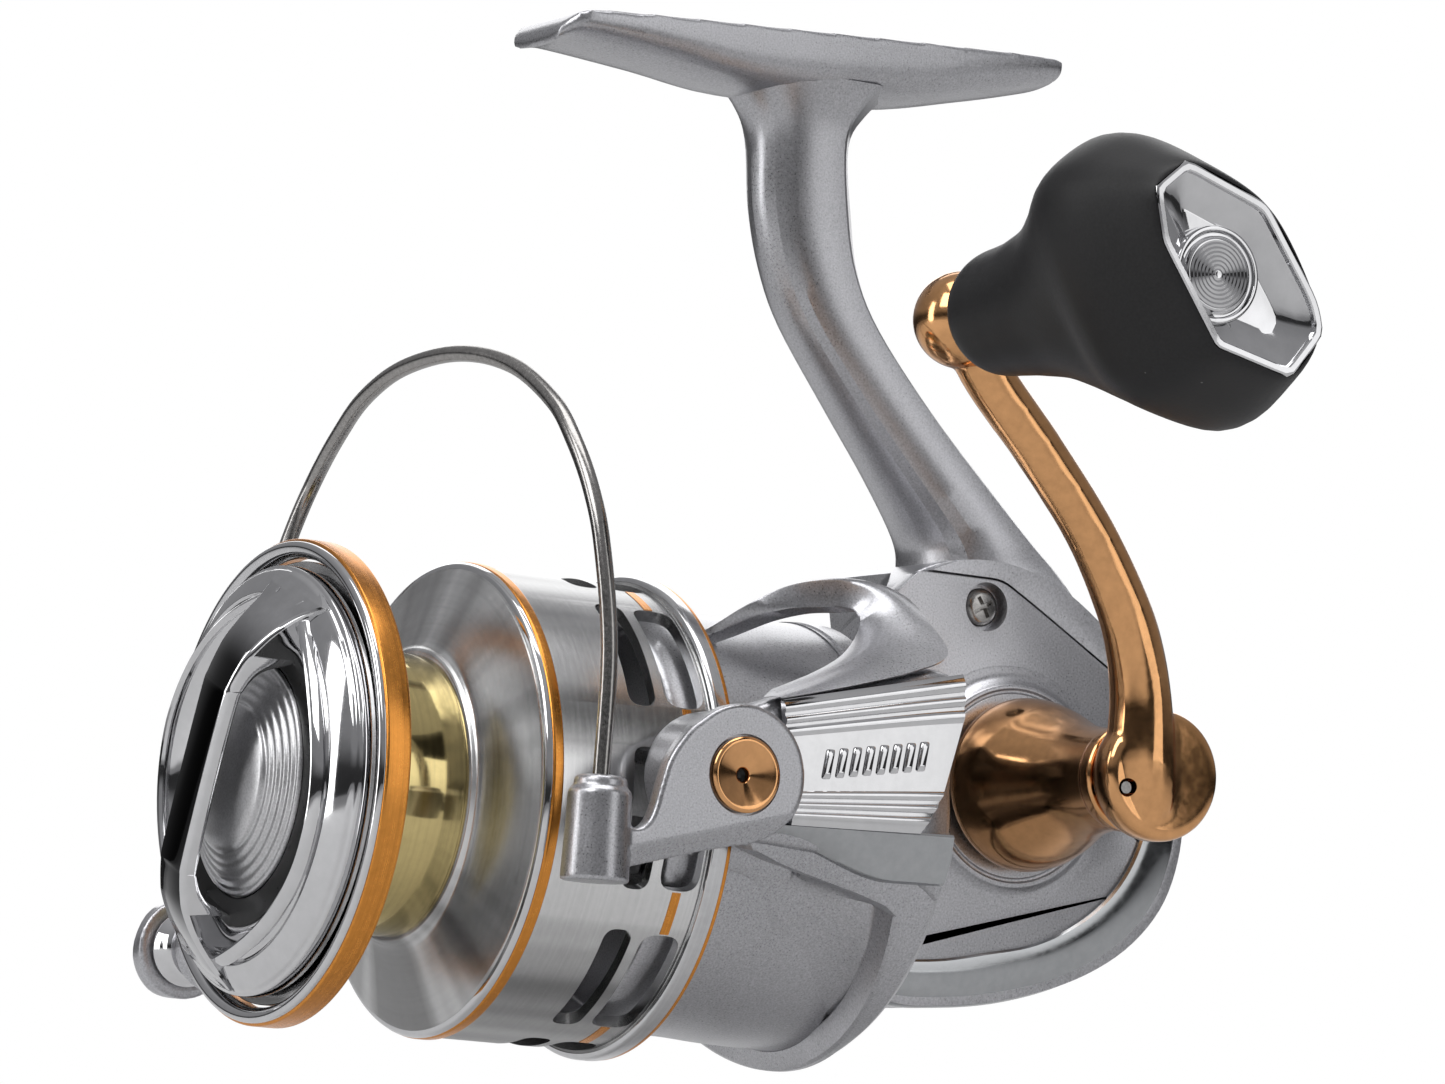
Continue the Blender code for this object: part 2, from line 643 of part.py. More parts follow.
def build_handle():
    crank = (0, CRANK_Y, CRANK_Z)
    shank = [
        (0, 15.6), (CRANK_SHAFT_R + FIXED_GAP, 15.6), (CRANK_SHAFT_R + FIXED_GAP, 12.6), (8.2, 12.6),
        (8.7, 13.4), (8.6, 15.2), (7.9, 18.0), (6.6, 21.2), (5.5, 24.6), (5.05, 28.0), (5.1, 31.0),
        (5.3, 32.0), (5.3, 33.3), (0, 33.3),
    ]
    shade(turned("handle_shank", shank, "crank", "copper", "X", crank, 20))
    arm = turned("handle_arm", [(0, HUB_LOW_X), (5.6, HUB_LOW_X), (HUB_R, 35.0), (HUB_R, 39.6), (5.6, HUB_HIGH_X),
                                (0, HUB_HIGH_X)], "crank", "copper", "X", crank, 32)
    ball = turned("arm_ball", ball_profile(BALL_R, 8), "crank", None, "X", (BALL_X, KNOB_Y, KNOB_Z))
    join(arm, loft("arm_bar", arm_rings(), "crank"), ball)
    cut(
        arm,
        rod("post_hole", PIVOT_R + FIXED_GAP, BALL_X - 2.4, BALL_X + 8, "crank", axis="X",
            centre=(0, KNOB_Y, KNOB_Z)),
        rod("pin_hole", 0.9, 33.0, 39.0, "crank", axis="X", centre=(0, CRANK_Y - 4.4, CRANK_Z - 1.6), steps=12),
    )
    shade(arm)
    rod("handle_pin", 0.6, 33.9, 38.6, "crank", "dark_steel", "X", (0, CRANK_Y - 4.4, CRANK_Z - 1.6), 12)
    post_x = BALL_X - 2.1
    rod("knob_post", PIVOT_R, post_x, BALL_X + 36.1, "crank", "steel", "X", (0, KNOB_Y, KNOB_Z))


KNOB_LEAN = math.radians(-29)
# Distance from the ball's centre along the post: half length and half width of the knob's section
KNOB_SECTIONS = [
    (5.5, 4.9, 4.9), (7.5, 6.1, 5.9), (13.5, 6.8, 6.3), (18.5, 8.2, 7.0), (23.5, 11.2, 8.9), (27.5, 14.2, 10.6),
    (31.5, 15.3, 11.4), (36.0, 14.7, 10.9), (40.5, 13.1, 9.5), (44.0, 11.5, 7.8),
]


def knob_ring(along, half_length, half_width, count=20):
    ring = superellipse(half_length, half_width, 0.92, count)
    return [(BALL_X + along, KNOB_Y + u, KNOB_Z + v) for u, v in rotate_outline(ring, KNOB_LEAN)]


def build_handle_knob():
    centre = (BALL_X, KNOB_Y, KNOB_Z)
    knob = loft("handle_knob", [knob_ring(*section) for section in KNOB_SECTIONS], "handle_knob", "black_rubber")
    cut(
        knob,
        rod("knob_tunnel", 4.6, 4.0, 37.5, "handle_knob", axis="X", centre=centre),
        loft("knob_pocket", [knob_ring(39.1, 10.6, 6.8), knob_ring(46.0, 10.6, 6.8)], "handle_knob"),
        rod("knob_eye", 5.2, 36.0, 46.0, "handle_knob", axis="X", centre=centre),
    )
    shade(knob)
    cap_rings = [knob_ring(39.4, 10.1, 6.3), knob_ring(43.1, 10.1, 6.3), knob_ring(43.8, 9.4, 5.6)]
    cap = loft("knob_cap", cap_rings, "handle_knob", "chrome")
    cut(cap, rod("cap_eye", 5.2, 38.0, 46.0, "handle_knob", axis="X", centre=centre))
    shade(cap)
    button = [(0, 39.9), (4.8, 39.9), (4.8, 42.3), (4.2, 42.9), (0, 43.2)]
    shade(turned("knob_button", button, "handle_knob", "chrome", "X", centre))
    bore = PIVOT_R + RUNNING_GAP + 0.01
    tube("knob_bearing_inner", bore, 4.3, 6.5, 9.1, "handle_knob", "steel", "X", centre)
    tube("knob_bearing_outer", bore, 4.3, 32.5, 35.1, "handle_knob", "steel", "X", centre)
    screw = [(0, 36.5), (3.4, 36.5), (3.4, 37.7), (2.8, 38.5), (0, 38.5)]
    turned("knob_screw", screw, "crank", "steel", "X", centre)


# ---------------------------------------------------------------- rotor and pinion


def build_pinion():
    toothed_low, toothed_high = 57.4, 66.4
    outline = gear_outline(PINION_TEETH, 2.38, PINION_PITCH_R + 0.6, 0.72, 0.26)
    pinion = prism("pinion_gear", outline, toothed_low, toothed_high, "rotor", "brass", "Y")
    sleeve = rod("pinion_sleeve", PINION_SLEEVE_R, 37.0, toothed_low + 0.1, "rotor")
    stub = rod("pinion_stub", PINION_STUB_R, toothed_high - 0.1, 69.4, "rotor")
    join(pinion, sleeve, stub)
    shade(cut(pinion, rod("pinion_bore", SHAFT_R + RUNNING_GAP, 36.0, 71.0, "rotor")))


ROTOR_WEB_FRONT = 39.9
ROTOR_WEB_REAR = 42.6
# Distance along the shaft: inner x, outer x, lower z and upper z of an arm
ARM_LEG_SECTIONS = [
    (58.8, 19.8, 29.6, -8.6, 14.8), (55.8, 20.0, 30.7, -6.6, 15.2), (50.0, 21.4, 31.0, -4.8, 14.0),
    (47.0, 24.6, 30.9, -4.2, 13.2), (40.6, 24.7, 30.6, -3.5, 11.2), (33.4, 24.8, 30.2, -3.3, 8.8),
]
FLANGE_SECTIONS = [
    (46.4, 20.4, 20.4), (49.4, 22.0, 21.3), (52.5, 25.2, 22.4), (56.0, 28.4, 23.1), (58.8, 29.2, 23.3),
    (59.4, 28.7, 22.8),
]


def arm_leg_rings(side):
    rings = []
    for y, inner, outer, low, high in ARM_LEG_SECTIONS:
        ring = superellipse((outer - inner) / 2, (high - low) / 2, 0.55, 12)
        rings.append([(side * (u + (inner + outer) / 2), y, v + (low + high) / 2) for u, v in ring])
    return rings


def flange_rings():
    """The drum flares from a circle to an ellipse that carries the two arms."""
    rings = []
    for y, half_x, half_z in FLANGE_SECTIONS:
        rings.append([(u, y, v) for u, v in superellipse(half_x, half_z, 1.0, 24)])
    return rings


def build_rotor():
    drum = [
        (19.5, 33.0), (20.9, 33.0), (20.9, 47.0), (22.3, 52.0), (22.6, 57.6), (20.4, 57.6), (19.4, 50.0),
        (19.4, ROTOR_WEB_REAR), (6.5, ROTOR_WEB_REAR), (6.5, 43.6), (PINION_SLEEVE_R + 0.35, 43.6),
        (PINION_SLEEVE_R + 0.35, ROTOR_WEB_FRONT), (19.5, ROTOR_WEB_FRONT),
    ]
    rotor = turned("rotor", drum, "rotor", "silver_paint", steps=FINE_ROUND)
    join(rotor, loft("flange", flange_rings(), "rotor"))
    for side, label in ((1, "near"), (-1, "far")):
        boss = rod("boss_" + label, 6.3, 24.8, 30.2, "rotor", axis="X", centre=(0, BAIL_Y, BAIL_Z), steps=20)
        boss.scale.z = side
        join(rotor, loft("leg_" + label, arm_leg_rings(side), "rotor"), boss)
    hollow = [(0, 43.7), (6.6, 43.7), (6.6, ROTOR_WEB_REAR), (19.4, ROTOR_WEB_REAR), (19.5, 50.0), (20.6, 54.0),
              (21.9, 58.0), (22.1, 62.5), (0, 62.5)]
    cut(rotor, turned("rotor_hollow", hollow, "rotor", steps=FINE_ROUND))
    for side, label in ((1, "near"), (-1, "far")):
        window = loft("window_" + label, window_rings(side), "rotor")
        pocket = box("pocket_" + label, (min(side * 27.2, side * 33), 43.5, 0.2),
                     (max(side * 27.2, side * 33), 54.6, 11.4), "rotor")
        pin_bore = rod("pin_bore_" + label, PIVOT_R + FIXED_GAP, 20.0, 33.0, "rotor", axis="X",
                       centre=(0, BAIL_Y, BAIL_Z))
        pin_bore.scale.z = side
        cut(rotor, window, pocket, pin_bore)
    return shade(rotor)


def window_rings(side):
    """An oval opening through the upper flank of the flange, beside each arm."""
    rings = []
    for reach in (14.0, 34.0):
        ring = superellipse(4.2, 3.4, 1.0, 16)
        direction = Vector((math.cos(math.radians(54)), 0, math.sin(math.radians(54))))
        across = Vector((-direction.z, 0, direction.x))
        base = direction * reach + Vector((0, 53.2, 0))
        points = [base + Vector((0, u, 0)) + across * v for u, v in ring]
        rings.append([(side * p.x, p.y, p.z) for p in points])
    return rings


ARM_COVER_OUTLINE = [
    (44.2, -2.3), (55.4, -1.0), (55.8, 4.0), (55.4, 14.8), (47.0, 12.8), (38.6, 10.2), (40.6, 6.6),
    (41.6, 3.6), (43.4, 0.6),
]


def mirrored(outline_low, outline_high, side):
    low, high = sorted((side * outline_low, side * outline_high))
    return low, high


def build_rotor_fittings():
    for side, label in ((1, "near"), (-1, "far")):
        low, high = mirrored(31.3, 32.5, side)
        plate = prism("arm_cover_" + label, ARM_COVER_OUTLINE, low, high, "rotor", "chrome")
        shade(plate)
    hexagon = [(6.2 * math.cos(math.radians(60 * i)), 6.2 * math.sin(math.radians(60 * i))) for i in range(6)]
    nut = prism("rotor_nut", hexagon, 36.4, 39.6, "rotor", "steel", "Y")
    cut(nut, rod("nut_bore", PINION_SLEEVE_R + FIXED_GAP, 35.0, 41.0, "rotor"))
    tube("clutch_sleeve", PINION_SLEEVE_R + FIXED_GAP, 4.4, 43.9, 52.4, "rotor", "steel")
    turns, points_per_turn, length = 5, 8, 10.0
    coil = []
    for i in range(turns * points_per_turn + 1):
        turn = 2 * math.pi * i / points_per_turn
        coil.append((29.2 + 1.3 * math.cos(turn), 44.2 + length * i / (turns * points_per_turn),
                     8.6 + 1.3 * math.sin(turn)))
    wire("bail_spring", coil, 0.3, "rotor", "steel", 1)


# ---------------------------------------------------------------- bail


def bail_plate(name, side, outline, finish):
    low, high = mirrored(30.9, 33.4, side)
    return prism(name, outline, low, high, "bail", finish)


def arc(centre, radius, start, end, count):
    turns = [math.radians(start + (end - start) * i / (count - 1)) for i in range(count)]
    return [(centre[0] + radius * math.cos(turn), centre[1] + radius * math.sin(turn)) for turn in turns]


BAIL_BOSS_R = 6.7
SOCKET_Y = 19.2
SOCKET_X = 31.2
SOCKET_TOP_Z = 1.2


def build_bail():
    pivot = (BAIL_Y, BAIL_Z)
    roller = (0, ROLLER_Y, ROLLER_Z)
    pivot_bore = PIVOT_R + RUNNING_GAP + 0.01
    near_outline = arc(pivot, BAIL_BOSS_R, 118, -90, 15) + [
        (26.0, -5.8), (18.6, -7.6), (18.6, -3.6), (23.0, -2.6), (24.6, 2.0), (27.0, 6.2),
    ]
    near = bail_plate("bail_arm", 1, near_outline, "silver_paint")
    socket = [(0, -8.6), (3.1, -8.6), (3.1, 0.0), (2.5, 0.2), (2.5, SOCKET_TOP_Z), (0, SOCKET_TOP_Z)]
    join(near, turned("socket", socket, "bail", None, "Z", (SOCKET_X, SOCKET_Y, 0), 20))
    cut(
        near,
        rod("wire_hole", 1.2, -6.0, 2.0, "bail", axis="Z", centre=(SOCKET_X, SOCKET_Y, 0), steps=12),
        rod("near_pivot_bore", pivot_bore, 28.0, 36.0, "bail", axis="X", centre=(0, *pivot)),
        rod("near_head_seat", 3.9, 32.5, 36.0, "bail", axis="X", centre=(0, *pivot)),
    )
    shade(near)
    far_outline = arc(pivot, BAIL_BOSS_R, 90, -40, 10) + [
        (30.0, -4.6), (20.0, -10.0), (12.0, -17.4), (ROLLER_Y + 1.0, ROLLER_Z - 5.0), (ROLLER_Y - 3.4, ROLLER_Z - 4.0),
        (ROLLER_Y - 4.6, ROLLER_Z), (ROLLER_Y - 3.2, ROLLER_Z + 3.8), (ROLLER_Y + 2.0, ROLLER_Z + 5.0),
        (18.0, -3.0), (26.4, 5.0),
    ]
    far = bail_plate("roller_arm", -1, far_outline, "silver_paint")
    cut(
        far,
        rod("far_pivot_bore", pivot_bore, -36.0, -28.0, "bail", axis="X", centre=(0, *pivot)),
        rod("far_head_seat", 3.9, -36.0, -32.5, "bail", axis="X", centre=(0, *pivot)),
        rod("axle_bore", 1.6, -36.0, -28.0, "bail", axis="X", centre=roller),
    )
    shade(far)
    for side, label in ((1, "near"), (-1, "far")):
        points = [
            (0, 24.0), (PIVOT_R, 24.0), (PIVOT_R, 32.8), (3.6, 32.8), (3.6, 33.9), (3.0, 34.0), (0.7, 33.2),
            (0.7, 32.6), (0, 32.6),
        ]
        screw = [(radius, side * along) for radius, along in points]
        shade(turned("bail_screw_" + label, screw, "rotor", "copper", "X", (0, *pivot)))
    screw = [(0, -22.4), (1.3, -22.4), (1.3, -33.7), (2.8, -33.7), (2.8, -34.4), (0, -34.6)]
    shade(turned("roller_screw", screw, "bail", "steel", "X", roller))
    tube("roller_bushing", 1.6, 2.2, -30.4, -24.4, "bail", "brass", "X", roller)
    groove = [
        (2.26, -30.3), (3.9, -30.3), (3.6, -29.6), (2.9, -28.4), (2.9, -26.6), (3.8, -25.0), (3.8, -24.4),
        (2.26, -24.4),
    ]
    shade(turned("line_roller", groove, "line_roller", "chrome", "X", roller))
    cap = [(1.6, -24.1), (4.3, -24.1), (4.3, -23.0), (3.0, -21.8), (0, -21.4), (0, -22.1), (1.6, -22.1)]
    shade(turned("wire_cap", cap, "bail", "silver_paint", "X", roller))
    shade(wire("bail_wire", smooth_path(BAIL_ROUTE, 2), 0.82, "bail", "dark_steel", 1))


# Up out of the socket, over the spool and down to the cap. Every point stays far enough from the bail's
# axis to pass over the spool lip when the bail opens.
BAIL_ROUTE = [
    (SOCKET_X, SOCKET_Y, -5.0), (SOCKET_X, SOCKET_Y, 1.2), (31.1, 19.2, 13.0), (29.9, 18.4, 22.7),
    (27.9, 17.9, 28.3), (24.6, 17.5, 33.2), (20.3, 17.3, 37.3), (13.0, 16.6, 41.3), (5.0, 15.0, 43.0),
    (-3.9, 13.7, 42.3), (-11.6, 13.5, 40.0), (-18.3, 14.2, 36.8), (-24.4, 14.9, 32.8), (-26.5, 13.8, 27.4),
    (-26.6, 11.9, 20.5), (-25.8, 9.9, 13.0), (-25.1, 8.8, 4.1), (-24.5, 7.9, -10.2),
]


# ---------------------------------------------------------------- shaft and slider


def build_shaft():
    low_y, high_y = SLIDER_Y - SLIDER_HALF, SLIDER_Y + SLIDER_HALF
    end_y = high_y + 0.2
    profile = [(0, 0.4), (SHAFT_R, 0.4), (SHAFT_R, end_y), (1.1, end_y), (1.1, end_y - 3.0), (0, end_y - 3.0)]
    shaft = turned("main_shaft", profile, "shaft", "steel")
    shade(join(shaft, rod("spool_seat", 4.6, 17.4, 19.0, "shaft")))
    slider = box("oscillation_slider", (-4.0, low_y, -5.2), (2.2, high_y, 9.2), "shaft", "dark_steel")
    slot_half = ECCENTRIC_R + 1.5
    cut(
        slider,
        rod("slider_bore", SHAFT_R + 0.1, low_y - 1, high_y + 1, "shaft"),
        rod("slider_guide", 1.3, low_y - 1, high_y + 1, "shaft", centre=GUIDE_ROD_CENTRE, steps=12),
        box("slider_slot", (-5.0, SLIDER_Y - 1.4, OSC_Z - slot_half), (-2.6, SLIDER_Y + 1.4, OSC_Z + slot_half),
            "shaft"),
    )
    head = end_y + 0.3
    screw = [(0, end_y - 2.6), (0.8, end_y - 2.6), (0.8, head), (1.9, head), (1.9, head + 0.8), (0, head + 0.8)]
    turned("slider_screw", screw, "shaft", "steel", steps=12)


# ---------------------------------------------------------------- spool and drag


def slot_cutter(name, low_y, high_y, slot_angle):
    """One skirt opening, as a short curved block that crosses the wall."""
    steps = 4
    rings = []
    for i in range(steps + 1):
        turn = math.radians(slot_angle + SLOT_ANGLE * (i / steps - 0.5))
        inset = 0.9 if i in (0, steps) else 0.0
        ring = []
        low, high = low_y + inset, high_y - inset
        for radius, y in ((20.0, low), (25.0, low), (25.0, high), (20.0, high)):
            ring.append((radius * math.cos(turn), y, radius * math.sin(turn)))
        rings.append(ring)
    return loft(name, rings, "spool")


def build_spool():
    profile = [
        (10.6, 1.6), (21.3, 1.6), (21.3, 3.1), (13.0, 4.6), (13.0, 14.6), (SKIRT_R, 18.5), (SKIRT_R, 36.3),
        (FLANGE_R, 36.9), (FLANGE_R, SPOOL_REAR_Y), (SKIRT_BORE_R, SPOOL_REAR_Y),
        (SKIRT_BORE_R, 20.9), (11.6, 17.0), (11.6, 11.2), (5.6, 11.2), (5.6, 16.4), (4.3, 16.4), (4.3, 9.6),
        (10.6, 9.6),
    ]
    spool = turned("spool", profile, "spool", "machined", steps=FINE_ROUND)
    for i in range(SKIRT_SLOTS):
        angle = SLOT_PHASE + 360 / SKIRT_SLOTS * i
        cut(
            spool,
            slot_cutter("front_slot_%d" % i, 27.4, 30.4, angle),
            slot_cutter("rear_slot_%d" % i, 31.6, 35.9, angle),
        )
    shade(spool)
    lip = [(21.7, 0.9), (22.0, 0.2), (22.9, 0.0), (LIP_R, 0.5), (LIP_R, LIP_LENGTH), (21.7, LIP_LENGTH)]
    shade(turned("spool_lip", lip, "spool", "orange_anodised", steps=FINE_ROUND))
    tube("arbor_band", 13.3, ARBOR_R, 5.0, 14.3, "spool", "gold", steps=FINE_ROUND)
    tube("spool_bearing", SHAFT_R + RUNNING_GAP, 4.0, 12.8, 16.2, "spool", "steel")
    clicker = gear_outline(10, 6.3, 7.0, 0.6, 0.2)
    ring = prism("click_gear", clicker, 14.2, 15.2, "spool", "black_plastic", "Y")
    cut(ring, rod("click_bore", 5.95, 13.0, 17.0, "spool", steps=12))
    bore = SHAFT_R + 0.35
    tube("drag_felt_rear", bore, 10.2, 8.1, 9.2, "spool", "felt")
    tube("drag_plate_steel", bore, 10.2, 7.1, 7.8, "spool", "steel")
    tube("drag_felt_front", bore, 10.2, 5.7, 6.8, "spool", "felt")
    tube("drag_pressure_plate", bore, 10.2, 4.6, 5.3, "spool", "steel")


GRIP_TURN = math.radians(-22)


def build_drag_knob():
    profile = [
        (0, -1.6), (14.9, -1.6), (16.6, -2.0), (17.2, -2.6), (18.0, -2.5), (20.5, -0.9), (20.8, 0.2), (20.4, 1.1),
        (9.7, 1.2), (9.7, 4.2), (5.5, 4.2), (5.5, 0.1), (0, 0.1),
    ]
    knob = turned("drag_knob", profile, "drag_knob", "chrome", steps=FINE_ROUND)
    half_side = [(8.4, -8.2), (10.8, -7.7), (13.4, -6.8), (19.8, -1.2), (19.8, -0.4), (16.4, -0.4), (15.4, -1.8),
                 (12.0, -5.0)]
    side = half_side + [(-along, y) for along, y in half_side[::-1]]
    half_width = 3.1
    rings = []
    for across in (-half_width, half_width):
        ring = []
        for along, y in side:
            x, z = rotate_outline([(across, along)], GRIP_TURN)[0]
            ring.append((x, y, z))
        rings.append(ring)
    join(knob, loft("grip", rings, "drag_knob"))
    shade(knob)
    dome = [
        (0, -5.0), (3.2, -4.95), (6.8, -4.4), (7.4, -3.9), (8.2, -3.7), (8.5, -3.3), (9.3, -3.1), (9.6, -2.8),
        (10.4, -2.6), (10.7, -2.3), (11.4, -2.2), (11.4, -1.9), (0, -1.9),
    ]
    shade(turned("drag_knob_dome", dome, "drag_knob", "machined", steps=24))
    nut = [(4.2 * math.cos(math.radians(60 * i)), 4.2 * math.sin(math.radians(60 * i))) for i in range(6)]
    inner_nut = prism("drag_nut", nut, 0.6, 3.0, "drag_knob", "brass", "Y")
    cut(inner_nut, rod("drag_nut_bore", SHAFT_R + RUNNING_GAP, 0.0, 4.0, "drag_knob"))
    coil = []
    for i in range(19):
        turn = 2 * math.pi * i / 9
        coil.append((3.6 * math.cos(turn), 3.45 + 0.6 * i / 18, 3.6 * math.sin(turn)))
    wire("drag_spring", coil, 0.13, "drag_knob", "steel", 1)
    tube("drag_seal", 10.0, 10.4, 2.0, 3.2, "drag_knob", "black_rubber")


build_housing()
build_side_cover()
build_guard()
build_cover_screws()
build_body_inside()
build_drive()
build_oscillation_gear()
build_handle()
build_handle_knob()
build_pinion()
build_rotor()
build_rotor_fittings()
build_bail()
build_shaft()
build_spool()
build_drag_knob()
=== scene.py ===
"""Looks of a spinning reel with a front drag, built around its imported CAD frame.

Shapes are drawn in millimetres on the reel's own axes, as in the CAD source: the main shaft is the Y axis,
y = 0 is the front of the spool lip and +Y runs to the rear, +X is the handle side and +Z points to the foot.
place() moves each finished piece into the row frame.
"""

import math

import bmesh
import bpy
import numpy as np
from mathutils import Matrix, Vector


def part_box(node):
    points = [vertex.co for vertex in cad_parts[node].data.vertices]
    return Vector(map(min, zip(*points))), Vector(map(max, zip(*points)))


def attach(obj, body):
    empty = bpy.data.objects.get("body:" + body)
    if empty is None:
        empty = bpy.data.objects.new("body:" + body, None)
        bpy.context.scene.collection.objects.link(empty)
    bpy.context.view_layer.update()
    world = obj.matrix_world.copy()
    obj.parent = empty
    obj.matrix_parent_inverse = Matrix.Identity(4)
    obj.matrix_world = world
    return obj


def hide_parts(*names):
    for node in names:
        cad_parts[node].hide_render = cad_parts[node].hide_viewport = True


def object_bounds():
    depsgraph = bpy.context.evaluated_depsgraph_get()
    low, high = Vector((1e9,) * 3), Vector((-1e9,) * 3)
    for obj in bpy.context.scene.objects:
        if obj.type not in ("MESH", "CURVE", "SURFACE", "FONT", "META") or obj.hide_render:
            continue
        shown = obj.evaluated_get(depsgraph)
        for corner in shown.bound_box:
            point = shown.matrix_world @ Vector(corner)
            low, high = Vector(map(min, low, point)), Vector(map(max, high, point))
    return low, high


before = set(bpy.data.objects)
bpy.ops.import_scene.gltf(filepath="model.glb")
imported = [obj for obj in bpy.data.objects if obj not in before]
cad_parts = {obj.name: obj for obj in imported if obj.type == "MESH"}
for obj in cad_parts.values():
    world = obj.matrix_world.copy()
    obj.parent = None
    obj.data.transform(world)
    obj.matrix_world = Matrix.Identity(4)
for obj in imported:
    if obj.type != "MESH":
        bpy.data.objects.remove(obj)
cad_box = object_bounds()

MM = 0.001
lip_low, lip_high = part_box("spool_lip")
ORIGIN = Vector(((lip_low.x + lip_high.x) / 2, lip_low.y, (lip_low.z + lip_high.z) / 2))
TO_ROW = Matrix.Translation(ORIGIN) @ Matrix.Scale(MM, 4)

# Where the crank, the bail's pivots, the knob's post and the line roller turn, as (y, z)
CRANK = (77.3, 6.67)
BAIL = (33.4, 2.6)
KNOB = (50.3, 47.6)
ROLLER = (7.5, -15.0)
# The foot's flat seat: one point on it, and its rise to the rear
SEAT_Y, SEAT_Z, SEAT_SLOPE = 53.3, 80.3, math.tan(math.radians(3.5))


# ---------------------------------------------------------------- curves and meshes


def smooth(points, steps, closed=False):
    """A rounded route through the points, by Catmull-Rom interpolation."""
    pts = [np.array(p, float) for p in points]
    n = len(pts)
    route = []
    for i in range(n if closed else n - 1):
        a = pts[i - 1] if closed or i else pts[0]
        b, c = pts[i], pts[(i + 1) % n]
        d = pts[(i + 2) % n] if closed else pts[min(i + 2, n - 1)]
        for k in range(steps):
            t = k / steps
            bend = (2 * a - 5 * b + 4 * c - d) * t**2 + (3 * b - a - 3 * c + d) * t**3
            route.append((2 * b + (c - a) * t + bend) / 2)
    if not closed:
        route.append(pts[-1])
    return [tuple(p) for p in route]


def rounded(points, radius, closed=True, steps=4):
    """The outline with its corners rounded. A third value in a point is that corner's own radius."""
    pts = [Vector(p[:2]) for p in points]
    radii = [p[2] if len(p) > 2 else radius for p in points]
    n = len(pts)
    route = []
    for i in range(n):
        if not closed and i in (0, n - 1):
            route.append(tuple(pts[i]))
            continue
        here, before, after = pts[i], pts[i - 1], pts[(i + 1) % n]
        back, ahead = before - here, after - here
        reach = min(radii[i], back.length * 0.48, ahead.length * 0.48)
        if reach < 1e-4:
            route.append(tuple(here))
            continue
        start, end = here + back.normalized() * reach, here + ahead.normalized() * reach
        for k in range(steps + 1):
            t = k / steps
            route.append(tuple(start * (1 - t) ** 2 + here * 2 * t * (1 - t) + end * t**2))
    return route


def mesh_object(name, verts, faces):
    mesh = bpy.data.meshes.new(name)
    shape = bmesh.new()
    made = [shape.verts.new(v) for v in verts]
    for face in faces:
        corners = [made[i] for i in face]
        if len(set(corners)) > 2:
            shape.faces.new(corners)
    bmesh.ops.remove_doubles(shape, verts=shape.verts, dist=0.0005)
    bmesh.ops.recalc_face_normals(shape, faces=shape.faces)
    shape.to_mesh(mesh)
    shape.free()
    obj = bpy.data.objects.new(name, mesh)
    bpy.context.scene.collection.objects.link(obj)
    return obj


def loft(name, rings, closed_route=False):
    """A skin through rings of equally many points, with a face on each end."""
    size = len(rings[0])
    verts = [p for ring in rings for p in ring]
    faces = []
    for i in range(len(rings) - (0 if closed_route else 1)):
        a, b = i * size, (i + 1) % len(rings) * size
        faces += [(a + k, a + (k + 1) % size, b + (k + 1) % size, b + k) for k in range(size)]
    if not closed_route:
        faces += [tuple(range(size)), tuple(range(len(verts) - size, len(verts)))]
    return mesh_object(name, verts, faces)


def lathe(name, profile, axis="Y", centre=(0, 0, 0), steps=160):
    """A closed profile of (radius, distance along the axis), turned once round the axis."""
    rings = []
    for i in range(steps):
        turn = 2 * math.pi * i / steps
        c, s = math.cos(turn), math.sin(turn)
        ring = []
        for r, along in profile:
            spot = {"X": (along, r * c, r * s), "Y": (r * c, along, r * s), "Z": (r * c, r * s, along)}[axis]
            ring.append(Vector(spot) + Vector(centre))
        rings.append(ring)
    return loft(name, rings, closed_route=True)


def prism(name, outline, low, high, axis="X"):
    """A flat outline, (y, z) for axis X and (x, z) for Y, given its thickness."""
    spot = {"X": lambda u, v, w: (w, u, v), "Y": lambda u, v, w: (u, w, v)}[axis]
    return loft(name, [[spot(u, v, w) for u, v in outline] for w in (low, high)])


def sweep(name, route, section):
    """A section carried along a route. section(share) gives its (sideways, outwards) points."""
    points = [Vector(p) for p in route]
    last = len(points) - 1
    along = [(points[min(i + 1, last)] - points[max(i - 1, 0)]).normalized() for i in range(last + 1)]
    side = along[0].orthogonal().normalized()
    rings = []
    for i, (point, direction) in enumerate(zip(points, along)):
        side = (side - direction * side.dot(direction)).normalized()
        up = direction.cross(side)
        rings.append([point + side * u + up * v for u, v in section(i / last)])
    return loft(name, rings)


def ring_of(half_u, half_v, power, count):
    """Points round a rounded rectangle: power 1 is an ellipse and smaller powers are squarer."""
    ring = []
    for i in range(count):
        turn = 2 * math.pi * (i + 0.5) / count
        c, s = math.cos(turn), math.sin(turn)
        ring.append((half_u * math.copysign(abs(c) ** power, c), half_v * math.copysign(abs(s) ** power, s)))
    return ring


def turned_outline(outline, degrees, u=0.0, v=0.0):
    c, s = math.cos(math.radians(degrees)), math.sin(math.radians(degrees))
    return [(c * a - s * b + u, s * a + c * b + v) for a, b in outline]


def offset(outline, distance):
    """The outline moved out by a distance, or in where it is negative."""
    area = sum(a[0] * b[1] - b[0] * a[1] for a, b in zip(outline, outline[1:] + outline[:1]))
    outline = outline if area > 0 else outline[::-1]
    moved = []
    for i, point in enumerate(outline):
        here, before, after = Vector(point), Vector(outline[i - 1]), Vector(outline[(i + 1) % len(outline)])
        along = (after - before).normalized()
        moved.append(tuple(here + Vector((along.y, -along.x)) * distance))
    return moved


